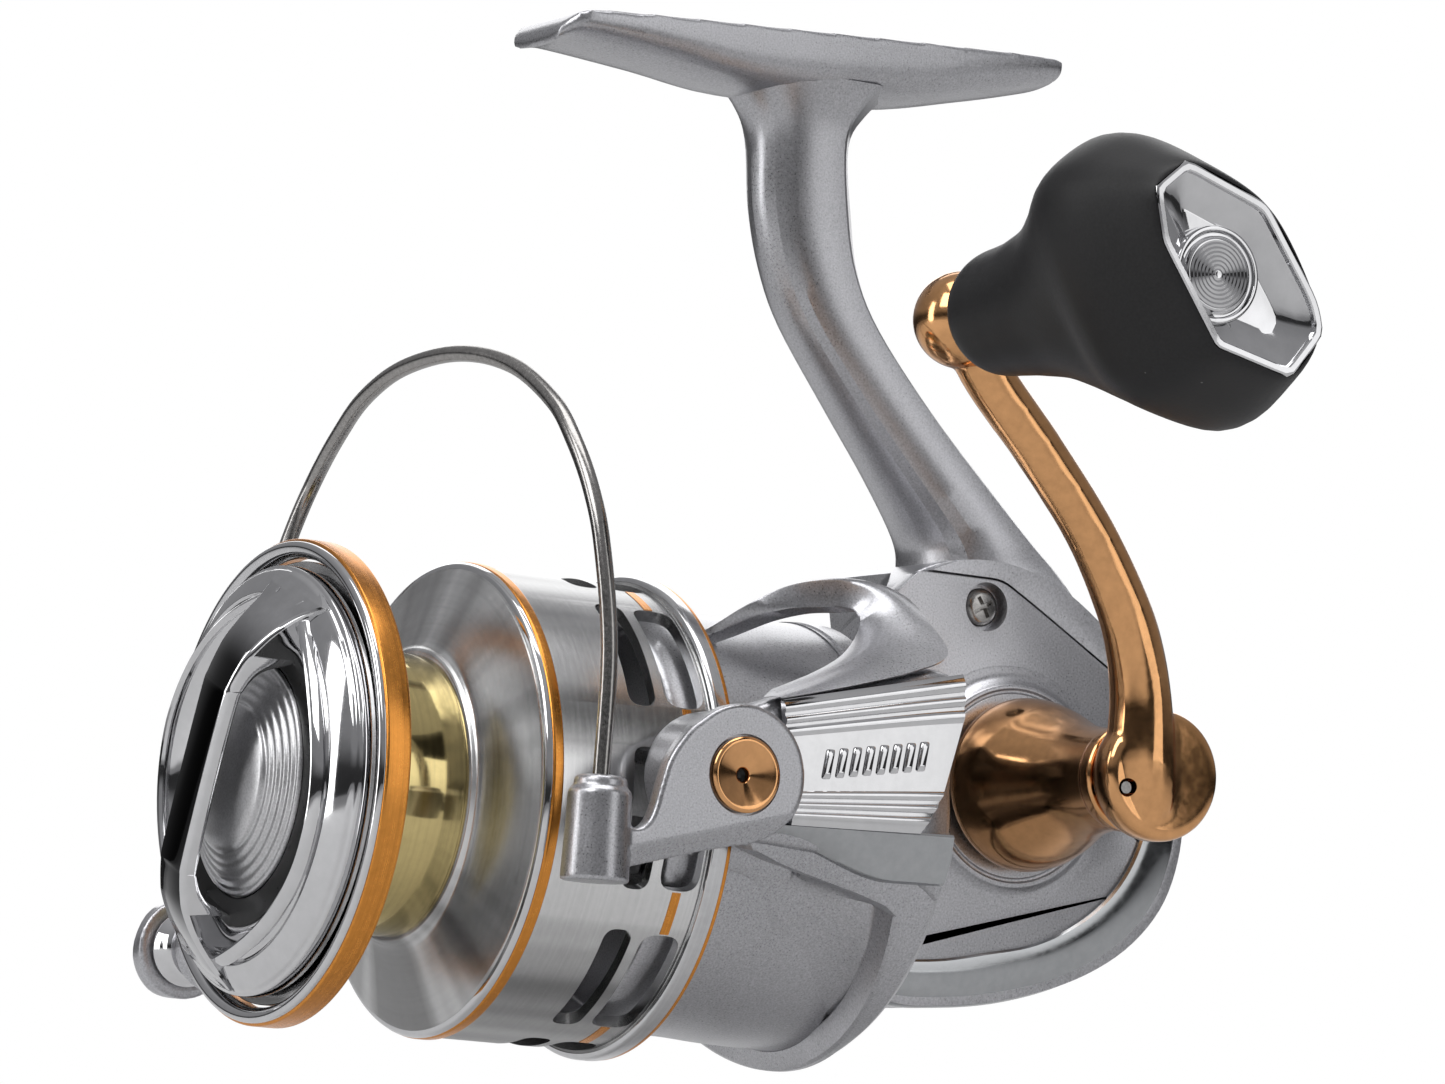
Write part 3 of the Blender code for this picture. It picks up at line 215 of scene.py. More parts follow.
def arc(centre, radius, start, end, count):
    turns = [math.radians(start + (end - start) * i / (count - 1)) for i in range(count)]
    return [(centre[0] + radius * math.cos(turn), centre[1] + radius * math.sin(turn)) for turn in turns]


def settle(obj):
    """Applies the object's modifiers."""
    bpy.context.view_layer.update()
    graph = bpy.context.evaluated_depsgraph_get()
    mesh = bpy.data.meshes.new_from_object(obj.evaluated_get(graph))
    obj.modifiers.clear()
    obj.data = mesh
    return obj


def boolean(obj, operation, *tools, solver="MANIFOLD"):
    for tool in tools:
        change = obj.modifiers.new("boolean", "BOOLEAN")
        change.operation = operation
        change.object = tool
        change.solver = solver
    settle(obj)
    for tool in tools:
        bpy.data.objects.remove(tool)
    return obj


def cut(obj, *tools, solver="MANIFOLD"):
    return boolean(obj, "DIFFERENCE", *tools, solver=solver)


def merge(obj, *others):
    """Puts other meshes into this one's, which melt() then makes one skin."""
    shape = bmesh.new()
    for one in (obj, *others):
        shape.from_mesh(one.data)
    shape.to_mesh(obj.data)
    shape.free()
    for one in others:
        bpy.data.objects.remove(one)
    return obj


def melt(obj, voxel, rounds=3):
    """One even skin over merged solids, with small fillets where they meet."""
    skin = obj.modifiers.new("skin", "REMESH")
    skin.mode = "VOXEL"
    skin.voxel_size = voxel
    relax = obj.modifiers.new("relax", "SMOOTH")
    relax.factor = 0.5
    relax.iterations = rounds
    return settle(obj)


def bevel(obj, width, segments=3, angle=30):
    change = obj.modifiers.new("bevel", "BEVEL")
    change.width = width
    change.segments = segments
    change.limit_method = "ANGLE"
    change.angle_limit = math.radians(angle)
    change.use_clamp_overlap = True
    return settle(obj)


def place(obj, body, finish, *stands_for, slot=None, angle=38):
    """The finished piece goes to the row frame, onto its body, and into its material."""
    obj.data.transform(TO_ROW)
    obj.data.materials.clear()
    for each in finish if isinstance(finish, tuple) else (finish,):
        obj.data.materials.append(finishes[each])
    obj.data.shade_smooth()
    obj.data.set_sharp_from_angle(angle=math.radians(angle))
    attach(obj, body)
    if stands_for:
        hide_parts(*stands_for)


# ---------------------------------------------------------------- materials


class Nodes:
    """A short way to write a material's nodes."""

    def __init__(self, material):
        material.use_nodes = True
        self.tree = material.node_tree
        self.shader = self.tree.nodes["Principled BSDF"]

    def add(self, kind, **values):
        node = self.tree.nodes.new("ShaderNode" + kind)
        for key, value in values.items():
            if hasattr(node, key):
                setattr(node, key, value)
            else:
                node.inputs[key.replace("_", " ")].default_value = value
        return node

    def join(self, source, target):
        self.tree.links.new(source, target)

    def math(self, operation, a, b=0.0):
        node = self.add("Math", operation=operation)
        self.feed(node.inputs[0], a)
        self.feed(node.inputs[1], b)
        return node.outputs[0]

    def feed(self, socket, value):
        """Gives a socket its value, or another node's output."""
        if isinstance(value, bpy.types.NodeSocket):
            self.join(value, socket)
        else:
            socket.default_value = value

    def noise(self, where, **values):
        node = self.add("TexNoise", **values)
        self.join(where, node.inputs["Vector"])
        return node.outputs[0]

    def combine(self, *parts):
        node = self.add("CombineXYZ")
        for socket, part in zip(node.inputs, parts):
            self.join(part, socket)
        return node.outputs[0]

    def spread(self, source, *span, **values):
        """Carries source from the first two numbers of the span to the other two, or to 0 and 1."""
        node = self.add("MapRange", **values)
        for socket, value in zip(node.inputs[1:5], span):
            socket.default_value = value
        self.join(source, node.inputs[0])
        return node.outputs[0]

    def mix(self, factor, first, second, **values):
        node = self.add("Mix", data_type="RGBA", **values)
        for index, value in ((0, factor), (6, first), (7, second)):
            self.feed(node.inputs[index], value)
        return node.outputs[2]


def make_finish(
    name, colour, roughness, metallic=1.0, grain=1200.0, tint=0.1, rough_span=0.05, bump=0.15, lines=0.0,
    line_scale=2500.0, anisotropic=0.0, coat=0.0, sheen=0.0, specks=0.0, cloud=45.0, detail=3.0,
    painted_reflection_wedges=0.0, middle=None, specular=0.5,
):
    """A finish with fine grain and slow changes of tone and gloss.

    lines adds lathe marks round the shaft, spokes paints into the colour the light and dark wedges of
    reflection that turned metal shows, and specks pale dust. middle=(near, far, tone) paints a darker part
    close to the shaft, a painted dark reflection.
    """
    material = bpy.data.materials.new(name)
    n = Nodes(material)
    shader = n.shader
    spot = n.add("TexCoord").outputs["Object"]
    fine = n.noise(spot, Scale=grain, Detail=detail, Roughness=0.6)
    slow = n.noise(spot, Scale=cloud, Detail=4.0, Roughness=0.55)
    blend = n.math("ADD", n.math("MULTIPLY", fine, 0.65), n.math("MULTIPLY", slow, 0.35))
    height = fine
    if lines or painted_reflection_wedges or middle:
        away = n.add("VectorMath", operation="SUBTRACT")
        n.join(spot, away.inputs[0])
        away.inputs[1].default_value = ORIGIN
        parts = n.add("SeparateXYZ")
        n.join(away.outputs[0], parts.inputs[0])
        x, y, z = parts.outputs
        radius = n.math("SQRT", n.math("ADD", n.math("POWER", x, 2.0), n.math("POWER", z, 2.0)))
    if lines:
        marks = n.noise(n.combine(radius, y), Scale=line_scale, Detail=2.0, Roughness=0.7)
        height = n.math("ADD", n.math("MULTIPLY", fine, 0.15), n.math("MULTIPLY", marks, lines))
        blend = n.math("ADD", n.math("MULTIPLY", blend, 0.5), n.math("MULTIPLY", marks, 0.5))
    low = [c * (1 - 2 * tint) for c in colour]
    high = [min(c * (1 + 2 * tint), 1) for c in colour]
    tone = n.mix(n.spread(blend, 0.36, 0.64), (*low, 1), (*high, 1))
    # Painted reflection: light and dark wedges round the shaft, multiplied into the colour
    if painted_reflection_wedges:
        heading = n.combine(n.math("DIVIDE", x, radius), n.math("DIVIDE", z, radius))
        wedges = n.noise(heading, Scale=1.35, Detail=3.0, Roughness=0.55)
        tone = n.mix(1.0, tone, n.spread(wedges, 0.42, 0.60, 1.0 - painted_reflection_wedges, 1.0), blend_type="MULTIPLY")
    # Painted reflection: the colour darkens towards the shaft, standing in for a dark surround reflected in
    # chrome
    if middle:
        near, far, dark = middle
        painted_dark_centre = n.spread(radius, near * MM, far * MM, dark, 1.0, interpolation_type="SMOOTHSTEP")
        tone = n.mix(1.0, tone, painted_dark_centre, blend_type="MULTIPLY")
    if specks:
        dust = n.add("TexVoronoi", Scale=330.0)
        n.join(spot, dust.inputs["Vector"])
        grains = n.spread(dust.outputs["Distance"], 0.03, 0.06, 1.0, 0.0)
        patch = n.math("MULTIPLY", grains, n.math("GREATER_THAN", slow, 0.56))
        tone = n.mix(n.math("MULTIPLY", patch, specks), tone, (0.35, 0.34, 0.33, 1))
    n.join(tone, shader.inputs["Base Color"])
    gloss = n.spread(blend, 0.3, 0.7, max(roughness - rough_span, 0.02), roughness + rough_span)
    n.join(gloss, shader.inputs["Roughness"])
    relief = n.add("Bump", Strength=bump, Distance=0.00003)
    n.join(height, relief.inputs["Height"])
    n.join(relief.outputs[0], shader.inputs["Normal"])
    for socket, value in {
        "Metallic": metallic, "Anisotropic": anisotropic, "Coat Weight": coat, "Coat Roughness": 0.12,
        "Sheen Weight": sheen, "Specular IOR Level": specular,
    }.items():
        shader.inputs[socket].default_value = value
    if anisotropic:
        tangent = n.add("Tangent", direction_type="RADIAL", axis="Y")
        n.join(tangent.outputs[0], shader.inputs["Tangent"])
    return material


FINISHES = {
    "silver_paint": dict(
        colour=(0.44, 0.44, 0.46), metallic=0.92, roughness=0.31, grain=5000, tint=0.115, rough_span=0.06,
        bump=0.4, coat=0.1, detail=2.0,
    ),
    "grey_gloss": dict(colour=(0.40, 0.41, 0.42), roughness=0.11, grain=900, tint=0.03, bump=0.03),
    "steel": dict(colour=(0.55, 0.55, 0.54), roughness=0.24, tint=0.08, bump=0.1, lines=0.5),
    "dark_steel": dict(colour=(0.33, 0.32, 0.31), roughness=0.22, grain=3000, tint=0.10, bump=0.10),
    "chrome": dict(
        colour=(0.62, 0.62, 0.63), roughness=0.06, grain=700, tint=0.02, rough_span=0.02, bump=0.02,
    ),
    # A darker copy of chrome with painted dark reflection towards the shaft, for the top of the drag knob's
    # bar
    "chrome_painted_dark": dict(
        colour=(0.50, 0.50, 0.51), roughness=0.07, grain=700, tint=0.03, rough_span=0.02, bump=0.02,
        middle=(11.5, 17.0, 0.06),
    ),
    # The machined finish carries painted reflection wedges, light and dark, round the shaft
    "machined": dict(
        colour=(0.70, 0.70, 0.70), roughness=0.24, tint=0.04, bump=0.14, lines=1.0, line_scale=3200,
        anisotropic=0.8, rough_span=0.02, cloud=14.0, painted_reflection_wedges=0.66,
    ),
    "brushed_ring": dict(
        colour=(0.60, 0.60, 0.61), roughness=0.14, tint=0.05, bump=0.12, lines=0.8, line_scale=2600,
        anisotropic=0.4,
    ),
    "satin_silver": dict(colour=(0.50, 0.50, 0.51), roughness=0.33, grain=4500, tint=0.10, bump=0.30),
    "orange_anodised": dict(
        colour=(0.66, 0.27, 0.055), roughness=0.26, tint=0.08, bump=0.2, lines=1.0, line_scale=4200,
        anisotropic=0.4,
    ),
    "gold": dict(
        colour=(0.62, 0.50, 0.23), roughness=0.09, tint=0.05, bump=0.06, lines=0.7, line_scale=1800,
        rough_span=0.04,
    ),
    "copper": dict(
        colour=(0.70, 0.37, 0.165), roughness=0.13, grain=900, tint=0.05, rough_span=0.04, bump=0.05,
    ),
    "brass": dict(colour=(0.60, 0.45, 0.18), roughness=0.30, tint=0.08, bump=0.1),
    "black_rubber": dict(
        colour=(0.0085, 0.0083, 0.009), metallic=0.0, roughness=0.48, grain=3500, tint=0.2, bump=0.3,
        specks=0.6, specular=0.34,
    ),
    "black_plastic": dict(
        colour=(0.006, 0.006, 0.006), metallic=0.0, roughness=0.3, grain=1500, tint=0.15, bump=0.05,
        specular=0.3,
    ),
    "felt": dict(
        colour=(0.25, 0.22, 0.18), metallic=0.0, roughness=0.92, grain=2500, tint=0.2, bump=0.9, sheen=0.4,
    ),
}
finishes = {name: make_finish("look_" + name, **values) for name, values in FINISHES.items()}

# The CAD nodes that stay in sight or inside take the finish of their slot.
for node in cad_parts.values():
    old = node.data.materials[0].name.split(".")[0] if node.data.materials else "steel"
    node.data.materials.clear()
    node.data.materials.append(finishes.get(old, finishes["steel"]))


# ---------------------------------------------------------------- spool


SKIRT_RADIUS = 23.0
SLOT_MIDDLES = [41.0 + 45.0 * i for i in range(8)]


def skirt_block(low, high, middle, half_angle, corner, inner=20.6, outer=25.0):
    """A curved block with round corners that crosses the skirt's wall."""
    along = math.radians(half_angle) * SKIRT_RADIUS
    outline = rounded([(-along, low), (along, low), (along, high), (-along, high)], corner, steps=5)
    dense = []
    for a, b in zip(outline, outline[1:] + outline[:1]):
        parts = max(1, int(abs(b[0] - a[0]) / 0.9))
        dense += [(a[0] + (b[0] - a[0]) * k / parts, a[1] + (b[1] - a[1]) * k / parts) for k in range(parts)]
    rings = []
    for radius in (inner, outer):
        turns = [(math.radians(middle) + u / SKIRT_RADIUS, y) for u, y in dense]
        rings.append([(radius * math.cos(t), y, radius * math.sin(t)) for t, y in turns])
    return loft("block", rings)


def lathe_part(profile, start, end, steps=12):
    """The profile turned through part of a circle round the shaft."""
    rings = []
    for i in range(steps + 1):
        turn = math.radians(start + (end - start) * i / steps)
        rings.append([(r * math.cos(turn), y, r * math.sin(turn)) for r, y in profile])
    return loft("part_turn", rings)


def build_spool():
    profile = rounded([
        (10.6, 1.6), (21.4, 1.6, 0.1), (21.4, 3.2, 0.4), (14.6, 4.2, 0.8), (13.4, 4.9, 0.3),
        (13.3, 14.2, 0.1), (14.3, 14.3, 0.3), (14.75, 15.1, 0.5), (16.2, 15.75, 0.8), (22.55, 17.75, 0.35),
        (SKIRT_RADIUS, 18.35, 0.3), (SKIRT_RADIUS, 36.2, 0.05), (23.4, 36.2, 0.1), (23.4, 38.1, 0.1),
        (21.8, 38.1, 0.3), (21.8, 20.9, 0.8), (11.6, 17.0, 0.5), (11.6, 11.2, 0.1), (5.6, 11.2, 0.1),
        (5.6, 16.4, 0.1), (4.3, 16.4, 0.1), (4.3, 9.6, 0.1), (10.6, 9.6, 0.1),
    ], 0.2, steps=3)
    spool = lathe("spool_turned", profile, steps=192)
    for middle in SLOT_MIDDLES:
        cut(spool, skirt_block(27.4, 30.4, middle, 17.2, 1.3), skirt_block(31.5, 35.8, middle, 16.6, 1.7))
    place(spool, "spool", "machined", "spool")

    # Piece: finish, the node it stands for, corner radius and profile
    bands = {
        "lip_ring": ("orange_anodised", "spool_lip", 0.1, [
            (21.9, 1.2), (23.2, 0.62, 0.1), (23.5, 0.75, 0.15), (23.5, 3.2, 0.15), (21.9, 3.2)]),
        "lip_edge": ("chrome", None, 0.1, [
            (21.6, 1.5), (21.75, 0.75, 0.1), (22.1, 0.25, 0.3), (22.75, 0.02, 0.4), (23.2, 0.3, 0.3),
            (23.25, 0.62, 0.05), (22.4, 1.5)]),
        "arbor_sleeve": ("gold", "arbor_band", 0.05, [
            (13.34, 5.0), (13.8, 5.0, 0.1), (13.8, 5.7, 0.05), (13.68, 5.8, 0.05), (13.68, 6.05, 0.05),
            (13.8, 6.15, 0.05), (13.8, 14.25, 0.1), (13.34, 14.25)]),
        "skirt_ring_front": ("orange_anodised", None, 0.05, [
            (22.7, 18.45), (23.15, 18.45, 0.1), (23.3, 18.65, 0.1), (23.3, 19.55, 0.1), (23.1, 19.7),
            (22.7, 19.7)]),
        "skirt_bevel": ("chrome", None, 0.05, [
            (22.9, 17.9), (23.05, 18.05, 0.1), (23.22, 18.43), (22.8, 18.43), (22.5, 17.8)]),
        "skirt_ring_rear": ("brushed_ring", None, 0.05, [
            (23.3, 36.1), (23.75, 36.25, 0.2), (23.92, 36.6, 0.2), (23.92, 37.75, 0.05), (23.3, 37.75)]),
        "skirt_line_rear": ("orange_anodised", None, 0.03, [
            (23.3, 37.76), (23.9, 37.76), (23.85, 38.19, 0.1), (23.3, 38.19)]),
    }
    for name, (finish, node, corner, band) in bands.items():
        ring = lathe(name, rounded(band, corner), steps=192)
        place(ring, "spool", finish, *([node] if node else []))
    stripes = None
    for middle in SLOT_MIDDLES:
        stripe = [(22.7, 33.2), (23.06, 33.2), (23.06, 34.15), (22.7, 34.15)]
        stripe = lathe_part(stripe, middle + 17.0, middle + 28.0)
        stripes = stripe if stripes is None else merge(stripes, stripe)
    stripes.name = "skirt_stripes"
    place(stripes, "spool", "orange_anodised")


# ---------------------------------------------------------------- drag knob

GRIP_TURN = -22.0
DISC_RADIUS = 20.4


def build_disc():
    base = rounded([
        (0, -1.5), (11.3, -1.5, 0.1), (11.3, -1.75, 0.1), (14.45, -1.9, 0.1), (14.7, -1.6, 0.2),
        (15.4, -1.45, 0.4), (16.3, -2.15, 0.5), (16.7, -2.62, 0.15), (17.15, -2.62, 0.15),
        (17.35, -2.3, 0.15), (17.75, -2.3, 0.1), (17.95, -2.5, 0.1), (20.15, -1.35, 0.2),
        (DISC_RADIUS, -0.95, 0.1), (20.75, -0.75, 0.15), (20.8, 0.3, 0.2), (20.5, 1.1, 0.2),
        (9.7, 1.15, 0.1), (9.7, 4.15, 0.1), (5.5, 4.15, 0.1), (5.5, 0.1, 0.1), (0, 0.1),
    ], 0.1, closed=False, steps=3)
    knob = lathe("drag_knob_disc", base, steps=192)
    place(knob, "drag_knob", "chrome", "drag_knob", angle=30)


def build_grip():
    """The bar across the disc."""
    # From the bar's middle to one end, along the bar: top, underside and half width
    half_bar = [
        (0, -8.11, -6.7, 3.0), (8.0, -8.03, -6.6, 3.0), (9.6, -7.85, -6.3, 3.0), (11.6, -7.35, -4.9, 3.1),
        (13.2, -6.75, -1.3, 3.25), (15.4, -5.35, -0.9, 3.6), (17.6, -3.45, -0.6, 4.35),
        (19.2, -1.9, -0.3, 5.9), (20.0, -1.15, -0.3, 7.6),
    ]
    stations = smooth([(-along, *rest) for along, *rest in half_bar[:0:-1]] + half_bar, 6)
    rings = []
    for along, top, under, half in stations:
        half = min(half, math.sqrt(max(DISC_RADIUS**2 - along**2, 0.25)))
        deep = min(0.55, (under - top) * 0.35)
        section = [
            (-half, under), (-half, top + deep), (-half + 0.18, top + deep * 0.45), (-half + 0.62, top),
            (0, top - 0.08), (half - 0.62, top), (half - 0.18, top + deep * 0.45), (half, top + deep),
            (half, under), (0, under),
        ]
        turned = turned_outline([(u, along) for u, _ in section], GRIP_TURN)
        rings.append([(x, y, z) for (x, z), (_, y) in zip(turned, section)])
    grip = loft("grip_bar", rings)
    place(grip, "drag_knob", ("chrome_painted_dark", "chrome"), slot="chrome", angle=34)
    # The two strips either side of the top's middle line take the chrome with painted dark reflection
    painted_dark_strips = (3, 4)
    for polygon in grip.data.polygons:
        polygon.material_index = 0 if polygon.index % len(rings[0]) in painted_dark_strips else 1


def build_well_ribs():
    """A raised rib from corner to corner on each side of the bar, round the well."""
    for side, label in ((1, "right"), (-1, "left")):
        route = []
        for i in range(41):
            share = i / 20 - 1
            u = side * (16.95 - 13.6 * share**2 - 1.1 * share**4)
            v = 19.0 * share * (1 - 0.03 * share**2)
            x, z = turned_outline([(u, v)], GRIP_TURN)[0]
            route.append((x, -2.75 - 0.35 * (1 - abs(share)) + (math.hypot(x, z) - 16.9) * 0.32, z))
        rib = sweep("well_rib_" + label, route, lambda share: ring_of(0.42, 0.75, 0.75, 10))
        place(rib, "drag_knob", "chrome")


def build_dome():
    annulus = rounded([(11.35, -1.6), (11.5, -2.02, 0.1), (14.2, -2.1, 0.1), (14.35, -1.7)], 0.05)
    place(lathe("drag_annulus", annulus), "drag_knob", "black_plastic")
    dome = rounded([
        (0, -5.0), (3.4, -4.93, 0.8), (6.2, -4.55, 0.9), (7.15, -4.25, 0.5), (7.3, -3.8, 0.15),
        (7.9, -3.75, 0.25), (8.2, -3.45, 0.2), (8.75, -3.4, 0.25), (9.0, -3.1, 0.2), (9.6, -3.05, 0.25),
        (9.85, -2.75, 0.2), (10.45, -2.7, 0.25), (10.7, -2.4, 0.2), (11.2, -2.35, 0.2),
        (11.35, -1.95, 0.05), (0, -1.95),
    ], 0.2, closed=False, steps=4)
    place(lathe("drag_dome", dome), "drag_knob", "satin_silver", "drag_knob_dome")


# ---------------------------------------------------------------- rotor


# The spool's rear rim comes back this far at the end of its stroke, and the collar leaves it this radius
RIM_BACK, RIM_REACH = 46.6, 24.35


def ease(value):
    value = min(max(value, 0.0), 1.0)
    return value * value * (3 - 2 * value)


def collar_radius(turn):
    """The rear rim is an ellipse that carries the two arms; over the top it stays close to the drum."""
    reach = 1 / math.sqrt((math.cos(turn) / 29.2) ** 2 + (math.sin(turn) / 23.3) ** 2)
    return reach + (21.55 - reach) * ease((math.sin(turn) - 0.42) / 0.26)


def lip_front(turn):
    """How far back the collar's front lip stands: forward under the arms, far back above and below."""
    low = -math.sin(turn)
    if low > 0:
        return 36.6 + 16.6 * ease((low - 0.12) / 0.19) + 5.2 * low
    return 36.6 + 19.5 * ease((-low - 0.2) / 0.4)


def build_collar():
    """The rear rim with its lip, and the cove that runs from the lip down to the drum."""
    rings = []
    steps = 180
    for i in range(steps):
        turn = 2 * math.pi * i / steps
        c, s = math.cos(turn), math.sin(turn)
        reach = collar_radius(turn)
        front = lip_front(turn)
        inner = max(reach - 3.1, 21.1)
        depth = min(6.0 + 1.7 * (inner - 21.0), front - 33.6)
        cove = []
        for k in range(1, 9):
            a = math.pi * k / 18
            cove.append((20.9 + (inner - 20.9) * (1 - math.cos(a)), front - depth * (1 - math.sin(a))))
        wall = min(inner - 0.05, RIM_REACH)
        section = [(20.4, front - depth)]
        for r, y in cove:
            kept_clear = 21.4 < r < RIM_REACH and y < RIM_BACK
            section.append(((wall if r > SKIRT_RADIUS else r), RIM_BACK) if kept_clear else (r, y))
        section += [
            (inner, front - 0.05), (inner + 0.1, front - 0.5), (inner + 0.35, front - 0.62),
            (reach - 0.3, front - 0.05), (reach - 0.02, front + 0.25), (reach, front + 0.8),
            (reach - 0.05, 58.7), (reach - 0.5, 59.3), (reach - 1.4, 59.35), (20.9, 59.3), (20.2, 57.0),
        ]
        rings.append([(r * c, y, r * s) for r, y in section])
    return loft("lip_collar", rings, closed_route=True)


def rotor_arm(side):
    """What melt() joins to the drum on one side: the arm, the boss at its pivot and the fin behind it."""
    legs = smooth([
        (58.9, 19.8, 29.2, -7.4, 15.2), (55.8, 20.0, 30.0, -5.6, 15.4), (50.0, 21.4, 30.1, -4.4, 13.9),
        (47.0, 24.6, 30.1, -3.9, 13.0), (40.6, 24.7, 30.1, -3.5, 11.3), (36.0, 24.8, 30.1, -3.3, 9.6),
        (33.4, 24.8, 30.1, -3.2, 8.6),
    ], 5)
    rings = []
    for y, inner, outer, low, high in legs:
        ring = ring_of((outer - inner) / 2, (high - low) / 2, 0.32, 28)
        rings.append([(side * (u + (inner + outer) / 2), y, v + (low + high) / 2) for u, v in ring])
    boss = rounded([(0, 24.8), (6.3, 24.8, 0.5), (6.3, 31.2, 0.4), (0, 31.2)], 0.3, closed=False)
    fin = (
        ((16.0, 52.5, 12.5), (21.6, 53.6, 15.6), (22.5, 58.9, 15.6), (16.0, 59.0, 12.5)),
        ((23.0, 52.5, 8.0), (27.4, 52.5, 11.0), (27.0, 58.9, 13.0), (22.0, 59.0, 9.0)),
    )
    return [
        loft("leg", rings),
        lathe("boss", [(r, side * x) for r, x in boss], "X", (0, *BAIL), 48),
        loft("fin", [[(side * x, y, z) for x, y, z in ring] for ring in fin]),
    ]


def build_arch():
    """On the handle side the lip runs on as a free arch, joined to the rear rim round an open window."""
    crest = smooth([
        (11.4, 38.6, 17.3), (12.4, 40.6, 18.6), (14.5, 43.4, 21.0), (16.0, 46.6, 23.0), (17.0, 50.1, 24.0),
        (18.0, 53.3, 24.1), (19.5, 55.1, 23.1), (21.5, 55.0, 20.9), (24.0, 52.9, 18.3), (26.2, 49.0, 15.6),
        (28.0, 43.5, 13.0), (28.9, 37.6, 10.6),
    ], 6)
    rear = smooth([
        (10.6, 40.2, 17.5), (11.2, 43.0, 18.9), (12.6, 47.0, 21.4), (13.7, 50.8, 23.2), (14.6, 54.4, 24.2),
        (15.6, 57.6, 24.3), (18.6, 58.9, 23.3), (23.4, 58.9, 20.4), (27.6, 58.6, 17.0), (30.2, 53.0, 14.6),
        (31.0, 46.0, 12.5), (31.0, 38.4, 10.5),
    ], 6)
    opening = Vector((18.2, 49.6, 17.4))
    rings = []
    for i, (front, back) in enumerate(zip(crest, rear)):
        share = i / (len(crest) - 1)
        front, back = Vector(front), Vector(back)
        outward = Vector((front.x, 0, front.z)).normalized()
        inner = front + (opening - front).normalized() * (1.3 + 1.6 * ease(share / 0.45))
        dip = Vector((0, 0.16, 0))
        rings.append([
            front,
            front + (inner - front) * 0.1 - dip,
            front + (inner - front) * 0.9 - dip,
            inner,
            inner + Vector((-0.2, 1.6 + 0.8 * ease(share / 0.4), -0.3)),
            back + (opening - back).normalized() * 1.5,
            back - outward * 0.3,
            back,
            front.lerp(back, 0.7) + outward * 0.3,
            front.lerp(back, 0.4) + outward * 0.4,
            front.lerp(back, 0.15) + outward * 0.25,
        ])
    place(loft("lip_arch", rings), "rotor", "silver_paint", angle=34)


def build_pivot_screw(side, label):
    cup = rounded([
        (0, 24.1), (2.0, 24.1), (2.0, 32.7, 0.1), (3.55, 32.85, 0.15), (3.65, 33.75, 0.15),
        (3.35, 33.98, 0.15), (3.05, 33.95, 0.12), (0.75, 33.15, 0.25), (0.62, 32.9, 0.1), (0.6, 31.0),
        (0, 31.0),
    ], 0.1, closed=False, steps=4)
    screw = lathe("pivot_screw_" + label, [(r, side * x) for r, x in cup], "X", (0, *BAIL), 96)
    place(screw, "rotor", "copper", "bail_screw_" + label)
    plug = [(0, 31.0), (0.62, 31.0), (0.62, 32.55, 0.1), (0.3, 32.35, 0.1), (0, 32.3)]
    plug = rounded(plug, 0.05, closed=False)
    plug = lathe("screw_socket_" + label, [(r, side * x) for r, x in plug], "X", (0, *BAIL), 32)
    place(plug, "rotor", "black_plastic")


def build_rotor():
    drum = rounded([
        (19.5, 33.0), (20.9, 33.0, 0.4), (20.9, 46.0, 2.0), (21.2, 50.0, 2.0), (21.4, 58.4, 0.5),
        (20.6, 58.4, 0.3), (19.4, 50.0), (19.4, 42.6, 0.3), (6.5, 42.6), (6.5, 43.6), (3.75, 43.6),
        (3.75, 39.9), (19.5, 39.9),
    ], 0.1, steps=3)
    rotor = lathe("rotor_shell", drum, steps=144)
    collar = build_collar()
    merge(rotor, *rotor_arm(1), *rotor_arm(-1))
    melt(rotor, 0.34, 4)
    pocket = ((43.5, 0.2), (54.6, 0.2), (54.6, 11.4), (43.5, 11.4))
    for side in (1, -1):
        bore = [(0, side * 20), (2.3, side * 20), (2.3, side * 33), (0, side * 33)]
        cut(
            rotor,
            loft("pocket", [[(side * x, y, z) for y, z in pocket] for x in (26.8, 33)]),
            lathe("pin_bore", bore, "X", (0, *BAIL), 40),
        )
    build_arch()
    place(rotor, "rotor", "silver_paint", "rotor", angle=50)
    place(collar, "rotor", "silver_paint", angle=30)
    for side, label in ((1, "near"), (-1, "far")):
        build_arm_cover(side, label)
        build_pivot_screw(side, label)


